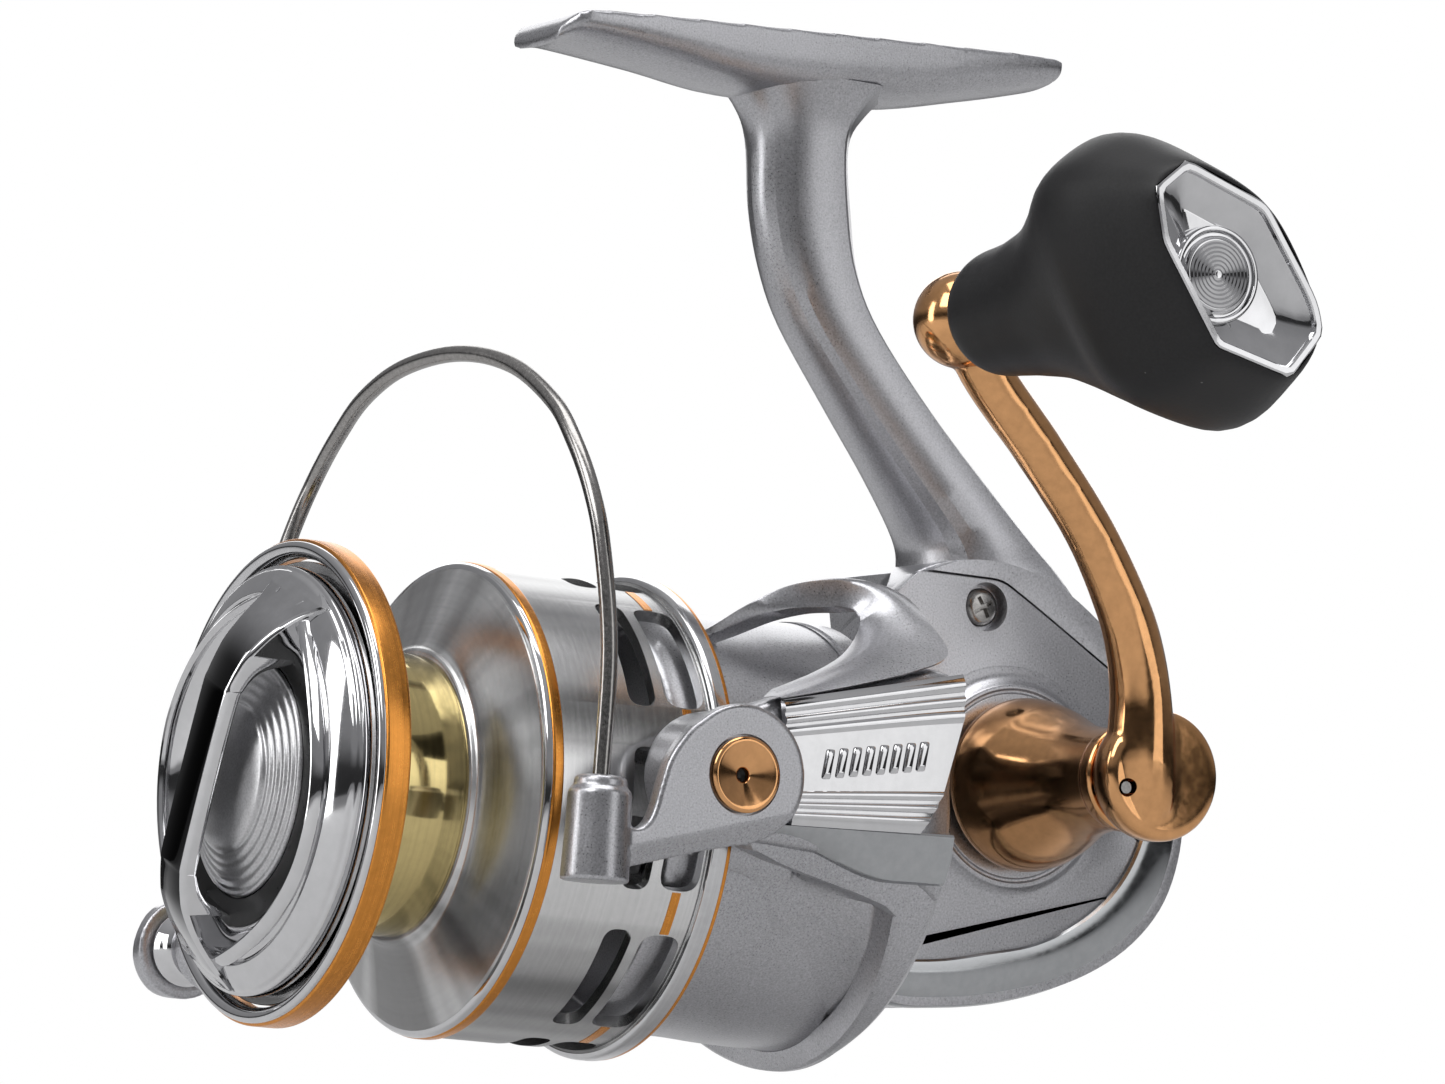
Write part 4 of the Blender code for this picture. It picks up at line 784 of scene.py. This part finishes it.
def build_arm_cover(side, label):
    """A bright plate with lengthwise ridges and a row of short ribs, and a glossy facet under it."""
    flat = 30.98
    levels = [(0.0, flat - 0.68), (0.0, flat - 0.23), (0.03, flat - 0.03)]
    # Ridges: where each starts and ends up the plate, as shares of its height, and how far it stands out
    ridges = (
        (0.05, 0.11, 0.24), (0.13, 0.19, 0.26), (0.21, 0.27, 0.2), (0.70, 0.78, 0.22), (0.80, 0.87, 0.3),
        (0.89, 0.97, 0.26),
    )
    for low, high, tall in ridges:
        for k in range(7):
            levels.append((low + (high - low) * k / 6, flat + tall * math.sin(math.pi * k / 6) ** 0.7))
    levels += [(1.0, flat - 0.18), (1.0, flat - 0.68)]
    rings = []
    for i in range(25):
        share = i / 24
        y_low, z_low = 40.4 + 15.9 * share, -1.4 + 0.55 * share
        y_high, z_high = 38.6 + 20.0 * share, 10.4 + 4.55 * share
        ring = []
        for t, x in levels:
            bow = 1.3 * math.sin(math.pi * t) - 1.4 * (1 - t) ** 2
            y = y_low + (y_high - y_low) * t + bow * share**6
            ring.append((side * (x - 0.12 * share**4), y, z_low + (z_high - z_low) * t))
        rings.append(ring)
    plate = loft("arm_plate_" + label, rings)
    rib = rounded([(-0.62, -1.45), (0.22, -1.45), (0.62, 1.45), (-0.22, 1.45)], 0.25, steps=3)
    for k in range(8):
        y = 43.9 + 1.5 * k
        middle = 4.75 + (y - 44) * 0.17
        rings = []
        for x, scale in ((30.6, 1.0), (31.12, 1.0), (31.24, 0.86), (31.28, 0.6)):
            rings.append([(side * x, y + u * scale, middle + v * scale) for u, v in rib])
        merge(plate, loft("rib", rings))
    place(plate, "rotor", "chrome", "arm_cover_" + label, angle=28)
    rings = []
    for i in range(21):
        share = i / 20
        top = -1.25 + 0.6 * share
        low = top - 1.5 - 3.4 * ease(share * 1.4)
        section = (
            (27.2, top), (30.55, top), (30.75, top - 0.25), (30.35, (top + low) / 2), (29.4, low + 0.2),
            (29.0, low), (26.4, low),
        )
        rings.append([(side * x, 39.0 + 19.7 * share, z) for x, z in section])
    place(loft("arm_facet_" + label, rings), "rotor", "grey_gloss", angle=30)


# ---------------------------------------------------------------- bail

ARM_INSIDE, ARM_OUTSIDE = 31.42, 33.4
PIVOT_BORE = [(0, 28), (2.15, 28), (2.15, 32.6), (3.85, 32.6), (3.95, 36), (0, 36)]
WIRE_END = (31.2, 19.2)


def build_near_arm():
    """The arm on the handle side, with the socket that holds the wire."""
    outline = arc(BAIL, 6.75, 128, -86, 40) + smooth([
        (30.2, -4.9), (26.0, -6.1), (22.4, -7.2), (20.6, -7.7), (18.6, -7.9), (18.4, -5.6), (18.6, -3.6),
        (21.9, -3.5), (23.2, -3.0), (24.0, -1.5), (24.6, 1.0), (25.4, 3.6), (27.2, 6.2), (28.6, 7.4),
    ], 4)
    arm = bevel(prism("bail_arm_near", outline, ARM_INSIDE, ARM_OUTSIDE), 0.6, 4, 40)
    # The chamfer along the arm's underside: its section, and how high it stands at three places along the arm
    chamfer = ((31.5, -0.4), (31.5, -4.0), (35.0, -4.0), (35.0, 4.0), (33.45, 2.0))
    heights = ((14.0, -9.3), (22.0, -7.15), (40.0, -2.3))
    cut(arm, loft("chamfer", [[(x, y, z + low) for x, z in chamfer] for y, low in heights]))
    socket = rounded([
        (0, -8.75), (3.25, -8.75, 0.3), (3.2, -6.6, 1.0), (3.05, -2.6, 1.0), (3.05, -0.35, 0.25),
        (2.75, 0.0, 0.1), (2.55, 0.1, 0.1), (2.5, 0.95, 0.3), (2.1, 1.2, 0.1), (0, 1.2),
    ], 0.2, closed=False)
    merge(arm, lathe("socket", socket, "Z", (*WIRE_END, 0), 72))
    melt(arm, 0.2, 4)
    cut(
        arm,
        lathe("wire_hole", [(0, -6), (1.0, -6), (1.0, 2), (0, 2)], "Z", (*WIRE_END, 0), 32),
        lathe("pivot_bore", PIVOT_BORE, "X", (0, *BAIL), 64),
    )
    place(arm, "bail", "silver_paint", "bail_arm", angle=45)


def build_far_arm():
    """The arm on the other side, which carries the line roller."""
    outline = arc(BAIL, 6.7, 100, -46, 30) + smooth([
        (30.5, -4.3), (26.0, -6.6), (20.0, -10.4), (12.4, -17.0), (9.2, -19.6), (5.4, -19.6), (3.2, -17.4),
        (2.8, -14.4), (4.6, -11.0), (9.0, -9.8), (14.0, -6.4), (20.0, -0.6), (26.0, 6.0), (28.8, 8.0),
    ], 4)
    arm = bevel(prism("roller_arm_far", outline, -ARM_OUTSIDE, -ARM_INSIDE), 0.6, 4, 40)
    shroud = [(0, -32.0), (4.9, -32.0, 0.5), (5.0, -30.9, 0.2), (4.2, -30.7, 0.2), (0, -30.7)]
    merge(arm, lathe("shroud", rounded(shroud, 0.2, closed=False), "X", (0, *ROLLER), 48))
    melt(arm, 0.24, 3)
    cut(
        arm,
        lathe("far_bore", [(r, -x) for r, x in PIVOT_BORE[::-1]], "X", (0, *BAIL), 48),
        lathe("axle_bore", [(0, -36), (1.6, -36), (1.6, -28), (0, -28)], "X", (0, *ROLLER), 32),
    )
    place(arm, "bail", "silver_paint", "roller_arm", angle=45)


def build_roller():
    cap = rounded([
        (1.6, -24.2), (4.3, -24.2, 0.15), (4.45, -23.9, 0.15), (4.35, -23.0, 0.5), (3.9, -22.2, 0.6),
        (2.6, -21.5, 0.8), (0, -21.4), (0, -22.1), (1.6, -22.1),
    ], 0.1, steps=4)
    cap = lathe("wire_end_cap", cap, "X", (0, *ROLLER), 96)
    place(cap, "bail", "silver_paint", "wire_cap")
    groove = rounded([
        (2.26, -30.3), (3.9, -30.3, 0.2), (3.6, -29.6, 0.4), (2.95, -28.4, 0.6), (2.95, -26.6, 0.6),
        (3.75, -25.0, 0.4), (3.8, -24.4, 0.2), (2.26, -24.4),
    ], 0.05, steps=4)
    roller = lathe("roller_turned", groove, "X", (0, *ROLLER), 96)
    place(roller, "line_roller", "chrome", "line_roller")
    head = rounded([
        (0, -22.4), (1.3, -22.4), (1.3, -33.7), (2.8, -33.7, 0.1), (2.8, -34.3, 0.25), (1.2, -34.6, 0.2),
        (0.9, -34.0), (0, -34.0),
    ], 0.1, closed=False)
    screw = lathe("roller_screw_turned", head, "X", (0, *ROLLER), 64)
    place(screw, "bail", "steel", "roller_screw")


def build_wire():
    route = smooth([
        (*WIRE_END, -5.0), (*WIRE_END, 1.2), (31.1, 19.2, 13.0), (29.9, 18.4, 22.7), (27.9, 17.9, 28.3),
        (24.6, 17.5, 33.2), (20.3, 17.3, 37.3), (13.0, 16.6, 41.3), (5.0, 15.0, 43.0), (-3.9, 13.7, 42.3),
        (-11.6, 13.5, 40.0), (-18.3, 14.2, 36.8), (-24.4, 14.9, 32.8), (-26.5, 13.8, 27.4),
        (-26.6, 11.9, 20.5), (-25.8, 9.9, 13.0), (-25.1, 8.8, 4.1), (-24.5, 7.9, -10.2),
    ], 9)
    wire = sweep("bail_loop", route, lambda share: ring_of(0.82, 0.82, 1.0, 20))
    place(wire, "bail", "dark_steel", "bail_wire")


# ---------------------------------------------------------------- body

CASE = [
    (56.8, -10.5), (59.5, -14.0), (66.0, -16.2), (73.0, -15.9), (80.0, -14.6), (87.0, -12.2), (92.8, -8.7),
    (96.8, -4.2), (98.7, 1.0), (98.9, 6.5), (97.2, 13.5), (93.8, 19.0), (88.5, 23.8), (82.0, 27.8),
    (75.0, 29.4), (69.0, 28.6), (63.8, 25.2), (60.6, 18.8), (58.0, 14.8), (56.8, 12.8),
]
SCREWS = {"top": (73.6, 24.4), "front": (60.8, -8.6), "rear": (94.4, 4.8)}


def seat_height(y):
    return SEAT_Z + (y - SEAT_Y) * SEAT_SLOPE


def build_stem():
    stem = smooth([
        (21.0, 68.5, 91.0, 8.9), (24.0, 69.5, 90.0, 8.9), (26.0, 69.9, 88.7, 8.7), (29.0, 70.4, 85.8, 8.0),
        (32.0, 69.6, 82.5, 7.1), (37.6, 65.3, 77.1, 5.8), (44.0, 59.9, 70.8, 4.9), (51.5, 53.9, 64.4, 4.3),
        (57.0, 51.1, 61.4, 4.1), (63.0, 49.4, 60.1, 4.0), (70.0, 48.6, 59.2, 4.4), (73.4, 46.9, 60.8, 5.1),
        (76.0, 44.0, 63.5, 6.0),
    ], 5)
    # Round the section: share from front to rear, share of the half width. A crease runs two thirds back.
    half = [
        (-1.0, 0.0), (-0.97, 0.24), (-0.9, 0.47), (-0.78, 0.67), (-0.6, 0.83), (-0.35, 0.94), (-0.05, 1.0),
        (0.3, 1.03), (0.60, 1.02), (0.67, 0.96), (0.98, 0.40), (1.0, 0.28),
    ]
    section = half + [(u, -v) for u, v in half[:0:-1]]
    rings = []
    for z, front, rear, wide in stem:
        rings.append([(v * wide, (front + rear) / 2 + u * (rear - front) / 2, z) for u, v in section])
    return loft("stem_shell", rings)


def foot_solid():
    # Distance along: drop below the seat, depth at the edge and in the middle, half width
    foot = smooth([
        (23.5, 1.9, 0.8, 1.4, 4.6), (24.4, 0.9, 0.9, 2.2, 5.7), (26.6, 0.1, 1.0, 3.1, 6.5),
        (36.0, 0.0, 1.6, 4.6, 6.8), (46.0, 0.0, 2.6, 6.2, 6.8), (62.0, 0.0, 2.6, 6.2, 6.8),
        (73.0, 0.0, 1.6, 4.5, 6.6), (80.6, 0.05, 1.0, 2.9, 5.9), (81.9, 0.45, 0.9, 2.0, 5.0),
    ], 5)
    rings = []
    for y, drop, edge, middle, wide in foot:
        top = seat_height(y) - drop
        section = [(-wide, top), (wide, top)]
        for k in range(13):
            a = math.pi * k / 12
            section.append((wide * math.cos(a), top - edge - (middle - edge) * math.sin(a) ** 0.9))
        rings.append([(x, y, z) for x, z in section])
    return loft("foot", rings)


def build_body():
    route = smooth(CASE, 5, closed=True)
    body = bevel(prism("body_shell", offset(route, -0.15), -11.1, 7.55), 2.2, 5, 40)
    cap = bevel(prism("case_upper", offset(route, -0.3), 7.0, 10.1), 0.45, 3, 40)
    cut(cap, prism("cover_room", cover_outline(-0.1), 6.0, 12.0))
    stem = build_stem()
    nose = rounded([(0, 50.45), (8.6, 50.45, 0.6), (8.6, 58.0), (0, 58.0)], 0.4, closed=False)
    boss = rounded([(0, -12.95), (7.4, -12.95, 0.6), (7.4, -10.5), (0, -10.5)], 0.3, closed=False)
    merge(body, foot_solid(), lathe("nose", nose, steps=96), lathe("left_boss", boss, "X", (0, *CRANK), 96))
    melt(body, 0.32, 3)
    well = [(0, 6.0), (2.45, 6.0), (2.45, 8.2), (0, 8.2)]
    cut(body, *[lathe("screw_well", well, "X", (0, y, z), 40) for y, z in SCREWS.values()])
    # The case's front top is cut back, so that light comes through the opening under the rotor's arch
    shoulder = {
        -13.0: ((54.0, 20.2), (68.6, 21.8), (66.5, 32.0), (54.0, 32.0)),
        2.0: ((54.0, 20.2), (68.0, 21.8), (66.5, 32.0), (54.0, 32.0)),
        8.5: ((54.0, 26.2), (61.8, 26.6), (61.8, 32.0), (54.0, 32.0)),
    }
    cut(body, loft("shoulder", [[(x, y, z) for y, z in corners] for x, corners in shoulder.items()]))
    place(stem, "body", "silver_paint", angle=17)
    place(cap, "body", "silver_paint", angle=30)
    place(body, "body", "silver_paint", "body_housing", angle=50)


def cover_outline(inset):
    """The cover's edge: the case's outline, with a level seam above and a diagonal down to the rear."""
    route = offset(smooth(CASE, 5, closed=True), -1.5)
    lower = [p for p in route if p[1] < 12.9 and not (p[0] < 58.6 and p[1] > 5)]
    start = max(range(len(lower)), key=lambda i: math.dist(lower[i], lower[i - 1]))
    lower = lower[start:] + lower[:start]
    seam = [
        (96.6, 15.0, 0.8), (89.3, 19.4, 2.0), (79.6, 25.0, 2.0), (75.4, 27.3, 1.2), (65.4, 27.3, 0.8),
        (63.0, 24.9, 0.6), (59.4, 17.0, 1.0), (58.2, 13.6, 1.0),
    ]
    if lower[0][0] > 80:
        seam = seam[::-1]
    return offset(rounded([*[(u, v, 0.0) for u, v in lower], *seam], 0.5, steps=4), -inset)


def build_cover():
    cover = bevel(prism("cover_plate", cover_outline(0.12), 8.0, 10.2), 0.3, 3, 40)
    crank = (0, *CRANK)
    hub = rounded([
        (0, 9.6), (12.6, 9.9, 0.2), (12.2, 10.22, 0.3), (11.0, 10.5, 0.8), (10.35, 11.2, 0.4),
        (10.1, 11.55, 0.3), (9.75, 11.6, 0.05), (9.6, 11.35, 0.05), (9.35, 11.35, 0.05), (9.2, 11.6, 0.05),
        (0, 11.6),
    ], 0.2, closed=False)
    boolean(cover, "UNION", lathe("hub", hub, "X", crank, 128))
    recess = [(0, 8.5), (2.35, 8.5), (2.45, 10.1), (2.7, 12), (0, 12)]
    cut(
        cover,
        lathe("passage", [(0, 7), (4.6, 7), (4.6, 13), (0, 13)], "X", crank, 64),
        *[lathe("recess", recess, "X", (0, y, z), 48) for y, z in SCREWS.values()],
    )
    place(cover, "body", "silver_paint", "side_cover", angle=30)
    head = rounded([(0, 8.0), (1.9, 8.0), (1.95, 9.1, 0.2), (1.5, 9.55, 0.3), (0, 9.7)], 0.1, closed=False)
    slot = [(-1.15, -0.22), (1.15, -0.22), (1.15, 0.22), (-1.15, 0.22)]
    for label, (y, z) in SCREWS.items():
        screw = lathe("cross_screw_" + label, head, "X", (0, y, z), 64)
        cut(screw, *[prism("slot", turned_outline(slot, turn, y, z), 9.0, 10.4) for turn in (32, 122)])
        place(screw, "body", "dark_steel", "cover_screw_" + label, angle=30)


def build_guard():
    """The glossy band: convex from the seam on the cover round to the case's outer edge."""
    seam = smooth([
        (58.6, -10.9), (64.0, -11.6), (70.0, -11.3), (75.6, -10.2), (81.4, -8.8), (87.0, -5.9), (91.0, -2.0),
        (93.4, 3.0), (94.0, 9.0), (93.0, 13.0), (92.0, 15.0),
    ], 6)
    edge = smooth([
        (58.8, -13.2), (65.0, -16.05), (72.0, -15.95), (79.0, -14.85), (86.0, -12.6), (92.0, -9.25),
        (96.4, -4.75), (98.5, 0.8), (98.78, 6.5), (97.6, 12.2), (95.8, 15.8),
    ], 6)
    rings = []
    for s, e in zip(map(Vector, seam), map(Vector, edge)):
        out = (e - s).normalized()
        spots = [
            (s, 10.25), (s, 10.55), (s + out * 0.25, 10.8), (s.lerp(e, 0.25), 10.88),
            (s.lerp(e, 0.55), 10.62), (s.lerp(e, 0.8), 10.05), (s.lerp(e, 0.95), 9.3), (e, 8.6), (e, 7.75),
            (e - out * 0.9, 7.7), (e - out * 1.2, 9.2), (s + out, 10.25),
        ]
        rings.append([(x, *p) for p, x in spots])
    place(loft("guard_band", rings), "body", "grey_gloss", "body_guard", angle=35)


# ---------------------------------------------------------------- handle


def build_shank():
    shank = rounded([
        (0, 12.6), (8.0, 12.6, 0.1), (8.55, 13.0, 0.4), (8.72, 13.9, 0.6), (8.55, 15.6, 1.2),
        (7.85, 18.2, 2.0), (6.6, 21.3, 2.0), (5.6, 24.4, 2.0), (5.1, 27.8, 2.0), (5.05, 31.1, 0.4),
        (5.3, 31.6, 0.15), (5.35, 32.9, 0.15), (5.1, 33.2, 0.15), (0, 33.2),
    ], 0.2, closed=False, steps=6)
    shank = lathe("shank_turned", shank, "X", (0, *CRANK), 128)
    place(shank, "crank", "copper", "handle_shank")


def build_handle():
    hub = rounded([
        (0, 33.6), (5.0, 33.6, 0.2), (5.15, 34.3, 0.3), (6.2, 35.2, 0.8), (6.4, 36.4, 0.6), (6.4, 38.0, 0.5),
        (5.9, 38.7, 0.6), (0, 38.9),
    ], 0.3, closed=False)
    arm = lathe("arm_shell", hub, "X", (0, *CRANK), 96)
    ball_radius = 4.7
    ball = []
    for i in range(25):
        a = math.pi * i / 24
        ball.append((ball_radius * math.sin(a), 39.8 + ball_radius * math.cos(a)))
    # The arm's middle line from the hub to the knob, with its half width and half thickness
    stations = smooth([
        (36.6, 76.6, 1.4, 1.4, 1.2), (37.0, 76.0, 3.4, 2.9, 2.5), (37.3, 75.2, 8.0, 3.3, 3.0),
        (37.4, 74.7, 13.9, 2.9, 2.9), (37.7, 73.4, 18.8, 2.75, 2.5), (38.0, 71.3, 23.1, 2.6, 2.3),
        (38.5, 66.8, 29.5, 2.4, 2.1), (39.0, 60.2, 36.5, 2.4, 2.05), (39.5, 54.0, 42.4, 2.5, 2.1),
        (39.8, *KNOB, 2.7, 2.3),
    ], 6)
    profile = (
        (1.0, 0.1), (0.93, 0.5), (0.62, 0.9), (0.2, 1.02), (-0.25, 0.95), (-0.5, 0.72), (-0.86, 0.5),
        (-1.0, 0.05), (-0.92, -0.5), (-0.6, -0.9), (0.0, -1.0), (0.6, -0.9), (0.93, -0.5),
    )
    places = [Vector(s[:3]) for s in stations]
    rings = []
    for i, (spot, (*_, wide, thick)) in enumerate(zip(places, stations)):
        along = (places[min(i + 1, len(places) - 1)] - places[max(i - 1, 0)]).normalized()
        across = along.cross(Vector((1, 0, 0))).normalized()
        outward = across.cross(along)
        rings.append([spot + across * (wide * u) + outward * (thick * v) for u, v in profile])
    merge(arm, loft("bar", rings), lathe("ball", ball, "X", (0, *KNOB), 64))
    melt(arm, 0.26, 5)
    pin = (0, CRANK[0] - 4.4, CRANK[1] - 1.6)
    cut(
        arm,
        lathe("post_hole", [(0, 37.4), (2.3, 37.4), (2.3, 48), (0, 48)], "X", (0, *KNOB), 40),
        lathe("pin_hole", [(0, 33.0), (0.9, 33.0), (0.9, 39.5), (0, 39.5)], "X", pin, 24),
    )
    place(arm, "crank", "copper", "handle_arm", angle=50)


# The power that leaves the hexagon's corners sharp
SHARP = 40.0
HEXAGON = [
    (-7.7, 6.9), (-4.4, 9.9), (4.6, 7.1), (10.8, -1.1), (11.6, -4.0), (8.2, -8.5), (-0.1, -6.7), (-6.5, 2.0),
]


def hexagon_reach(turn, grow, power):
    """How far the knob's long hexagon, its edges moved out and its corners rounded, reaches one way."""
    u, v = math.cos(turn), math.sin(turn)
    total = 0.0
    for (ay, az), (by, bz) in zip(HEXAGON, HEXAGON[1:] + HEXAGON[:1]):
        normal = Vector((bz - az, ay - by)).normalized()
        away = normal.x * ay + normal.y * az
        if away < 0:
            normal, away = -normal, -away
        total += max((normal.x * u + normal.y * v) / max(away + grow, 0.5), 0.0) ** power
    return total ** (-1 / power)


def knob_ring(x, radius, grow, share, power=9.0, count=96):
    """A section of the knob: a circle that turns into the hexagon as share goes from 0 to 1."""
    ring = []
    for i in range(count):
        turn = 2 * math.pi * (i + 0.5) / count
        reach = radius * (1 - share) + hexagon_reach(turn, grow, power) * share
        ring.append((x, KNOB[0] + reach * math.cos(turn), KNOB[1] + reach * math.sin(turn)))
    return ring


def build_knob():
    sections = smooth([
        (45.3, 4.75, 0, 0), (45.6, 5.3, 0, 0), (47.3, 6.0, 0, 0), (50.3, 6.25, 0, 0.03), (53.3, 6.5, 0, 0.1),
        (58.3, 7.3, 0.2, 0.3), (63.0, 9.0, 1.4, 0.62), (67.0, 11.0, 2.9, 0.95), (70.0, 12.0, 3.9, 1.0),
        (72.5, 12.0, 4.15, 1.0), (75.8, 12.0, 3.6, 1.0), (80.3, 11.0, 1.9, 1.0), (82.6, 10.0, 0.95, 1.0),
        (83.5, 9.0, 0.4, 1.0), (83.75, 8.0, -0.2, 1.0),
    ], 5)
    knob = loft("knob_grip", [knob_ring(*section) for section in sections])
    pocket = loft("pocket", [knob_ring(x, 0, 0.02, 1.0, power=SHARP) for x in (81.6, 90.0)])
    cut(knob, pocket, lathe("tunnel", [(0, 43.0), (4.6, 43.0), (4.6, 81.9), (0, 81.9)], "X", (0, *KNOB), 48))
    place(knob, "handle_knob", "black_rubber", "handle_knob", angle=32)
    levels = [
        (0.02, 81.7), (0.02, 83.35), (-0.08, 83.6), (-0.25, 83.7), (-0.7, 83.68), (-0.82, 83.55),
        (-0.86, 83.05), (-1.05, 82.95), (-2.1, 82.55), (-3.5, 81.85), (-3.8, 81.8),
    ]
    cap = loft("knob_frame", [knob_ring(x, 0, grow, 1.0, power=SHARP) for grow, x in levels])
    place(cap, "handle_knob", "chrome", "knob_cap", angle=25)
    steps = [
        (0, 81.75), (4.5, 81.75), (4.5, 82.7, 0.1), (4.4, 83.05, 0.12), (4.0, 83.05, 0.1), (3.85, 82.6, 0.1),
        (3.45, 82.65, 0.1), (3.35, 83.05, 0.08), (3.1, 83.12, 0.05),
    ]
    for k in range(7):
        r = 2.95 - 0.4 * k
        steps += [(r, 83.02, 0.04), (r - 0.2, 83.14, 0.04)]
    steps += [(0, 83.06)]
    button = lathe("knob_medallion", rounded(steps, 0.05, closed=False, steps=2), "X", (0, *KNOB), 96)
    place(button, "handle_knob", "chrome", "knob_button", angle=25)


# ---------------------------------------------------------------- far side


def build_left_cap():
    cap = rounded([
        (0, -14.8), (5.4, -14.8, 0.3), (5.6, -14.55, 0.1), (6.0, -14.55, 0.1), (6.2, -14.75, 0.1),
        (6.7, -14.6, 0.3), (7.0, -14.0, 0.3), (7.0, -13.3, 0.1), (0, -13.3),
    ], 0.1, closed=False)
    place(lathe("far_cap", cap, "X", (0, *CRANK), 96), "body", "copper", "left_cap")


build_spool()
build_disc()
build_grip()
build_well_ribs()
build_dome()
build_rotor()
build_near_arm()
build_far_arm()
build_roller()
build_wire()
build_body()
build_cover()
build_guard()
build_shank()
build_handle()
build_knob()
build_left_cap()


# ---------------------------------------------------------------- camera, floor and light


def build_camera():
    camera = bpy.data.cameras.new("camera")
    camera.sensor_width = 36.0
    camera.lens = 174.8324
    camera.clip_end = 20.0
    holder = bpy.data.objects.new("camera", camera)
    bpy.context.scene.collection.objects.link(holder)
    bpy.context.scene.camera = holder
    azimuth, elevation, roll = (math.radians(a) for a in (60.124, -6.648, 3.778))
    level = math.cos(elevation)
    back = Vector((math.sin(azimuth) * level, -math.cos(azimuth) * level, math.sin(elevation)))
    right = Vector((math.cos(azimuth), math.sin(azimuth), 0))
    up = back.cross(right)
    tilted = (
        right * math.cos(roll) + up * math.sin(roll),
        up * math.cos(roll) - right * math.sin(roll),
        back,
    )
    matrix = Matrix([list(v) for v in tilted]).transposed().to_4x4()
    matrix.translation = ORIGIN + Vector((603.03, -297.92, -52.32)) * MM
    holder.matrix_world = matrix


def build_floor():
    floor_mesh = bpy.data.meshes.new("floor")
    shape = bmesh.new()
    bmesh.ops.create_grid(shape, x_segments=8, y_segments=8, size=4.0)
    shape.to_mesh(floor_mesh)
    shape.free()
    floor = bpy.data.objects.new("floor", floor_mesh)
    floor.location = (0, 0, cad_box[0].z - 0.034)
    bpy.context.scene.collection.objects.link(floor)
    paper = bpy.data.materials.new("floor_paper")
    n = Nodes(paper)
    grain = n.add("TexNoise", Scale=30.0)
    tone = n.mix(grain.outputs[0], (0.62, 0.62, 0.62, 1), (0.66, 0.66, 0.66, 1))
    n.join(tone, n.shader.inputs["Base Color"])
    n.shader.inputs["Roughness"].default_value = 0.9
    floor_mesh.materials.append(paper)


def build_room():
    """White behind the reel, and for the light a studio that is bright above and dark round the horizon."""
    world = bpy.data.worlds.new("studio")
    bpy.context.scene.world = world
    world.use_nodes = True
    tree = world.node_tree
    tree.nodes.clear()
    output, blend, path, white, room, coords, parts, height, ramp = (
        tree.nodes.new("ShaderNode" + kind) for kind in (
            "OutputWorld", "MixShader", "LightPath", "Background", "Background", "TexCoord", "SeparateXYZ",
            "MapRange", "ValToRGB",
        )
    )
    white.inputs[0].default_value = (1, 1, 1, 1)
    white.inputs[1].default_value = 1.0
    room.inputs[1].default_value = 1.0
    height.inputs[1].default_value = -1.0
    ramp.color_ramp.elements[0].position = 0.46
    ramp.color_ramp.elements[0].color = (0.16, 0.16, 0.165, 1)
    ramp.color_ramp.elements[1].position = 1.0
    ramp.color_ramp.elements[1].color = (0.50, 0.50, 0.51, 1)
    for position, tone in ((0.50, 0.03), (0.55, 0.04), (0.61, 0.26), (0.75, 0.30)):
        ramp.color_ramp.elements.new(position).color = (tone, tone, tone * 1.03, 1)
    for source, target in (
        (coords.outputs["Generated"], parts.inputs[0]),
        (parts.outputs[2], height.inputs[0]),
        (height.outputs[0], ramp.inputs[0]),
        (ramp.outputs[0], room.inputs[0]),
        (path.outputs["Is Camera Ray"], blend.inputs[0]),
        (room.outputs[0], blend.inputs[1]),
        (white.outputs[0], blend.inputs[2]),
        (blend.outputs[0], output.inputs[0]),
    ):
        tree.links.new(source, target)


def build_lamps():
    middle = ORIGIN + Vector((0, 45, 15)) * MM
    # Name: azimuth, elevation, distance, width, height, power
    lamps = {
        "key": (20, 38, 0.9, 0.5, 0.5, 3.2),
        "side": (114, 10, 0.9, 0.34, 0.8, 1.0),
        "top": (60, 82, 0.8, 0.7, 0.4, 2.6),
        "front_strip": (-18, 6, 0.9, 0.2, 0.8, 1.9),
        "back": (240, 30, 1.0, 0.7, 0.7, 2.4),
        "low": (66, -16, 0.9, 0.8, 0.08, 0.4),
    }
    for name, (turn, rise, away, wide, tall, power) in lamps.items():
        lamp = bpy.data.lights.new(name, "AREA")
        lamp.shape = "RECTANGLE"
        lamp.size, lamp.size_y, lamp.energy = wide, tall, power
        holder = bpy.data.objects.new(name, lamp)
        a, e = math.radians(turn), math.radians(rise)
        toward = Vector((math.sin(a) * math.cos(e), -math.cos(a) * math.cos(e), math.sin(e)))
        holder.location = middle + toward * away
        holder.rotation_mode = "QUATERNION"
        holder.rotation_quaternion = toward.to_track_quat("Z", "Y")
        bpy.context.scene.collection.objects.link(holder)


bpy.context.scene.view_settings.view_transform = "Standard"
build_camera()
build_floor()
build_room()
build_lamps()
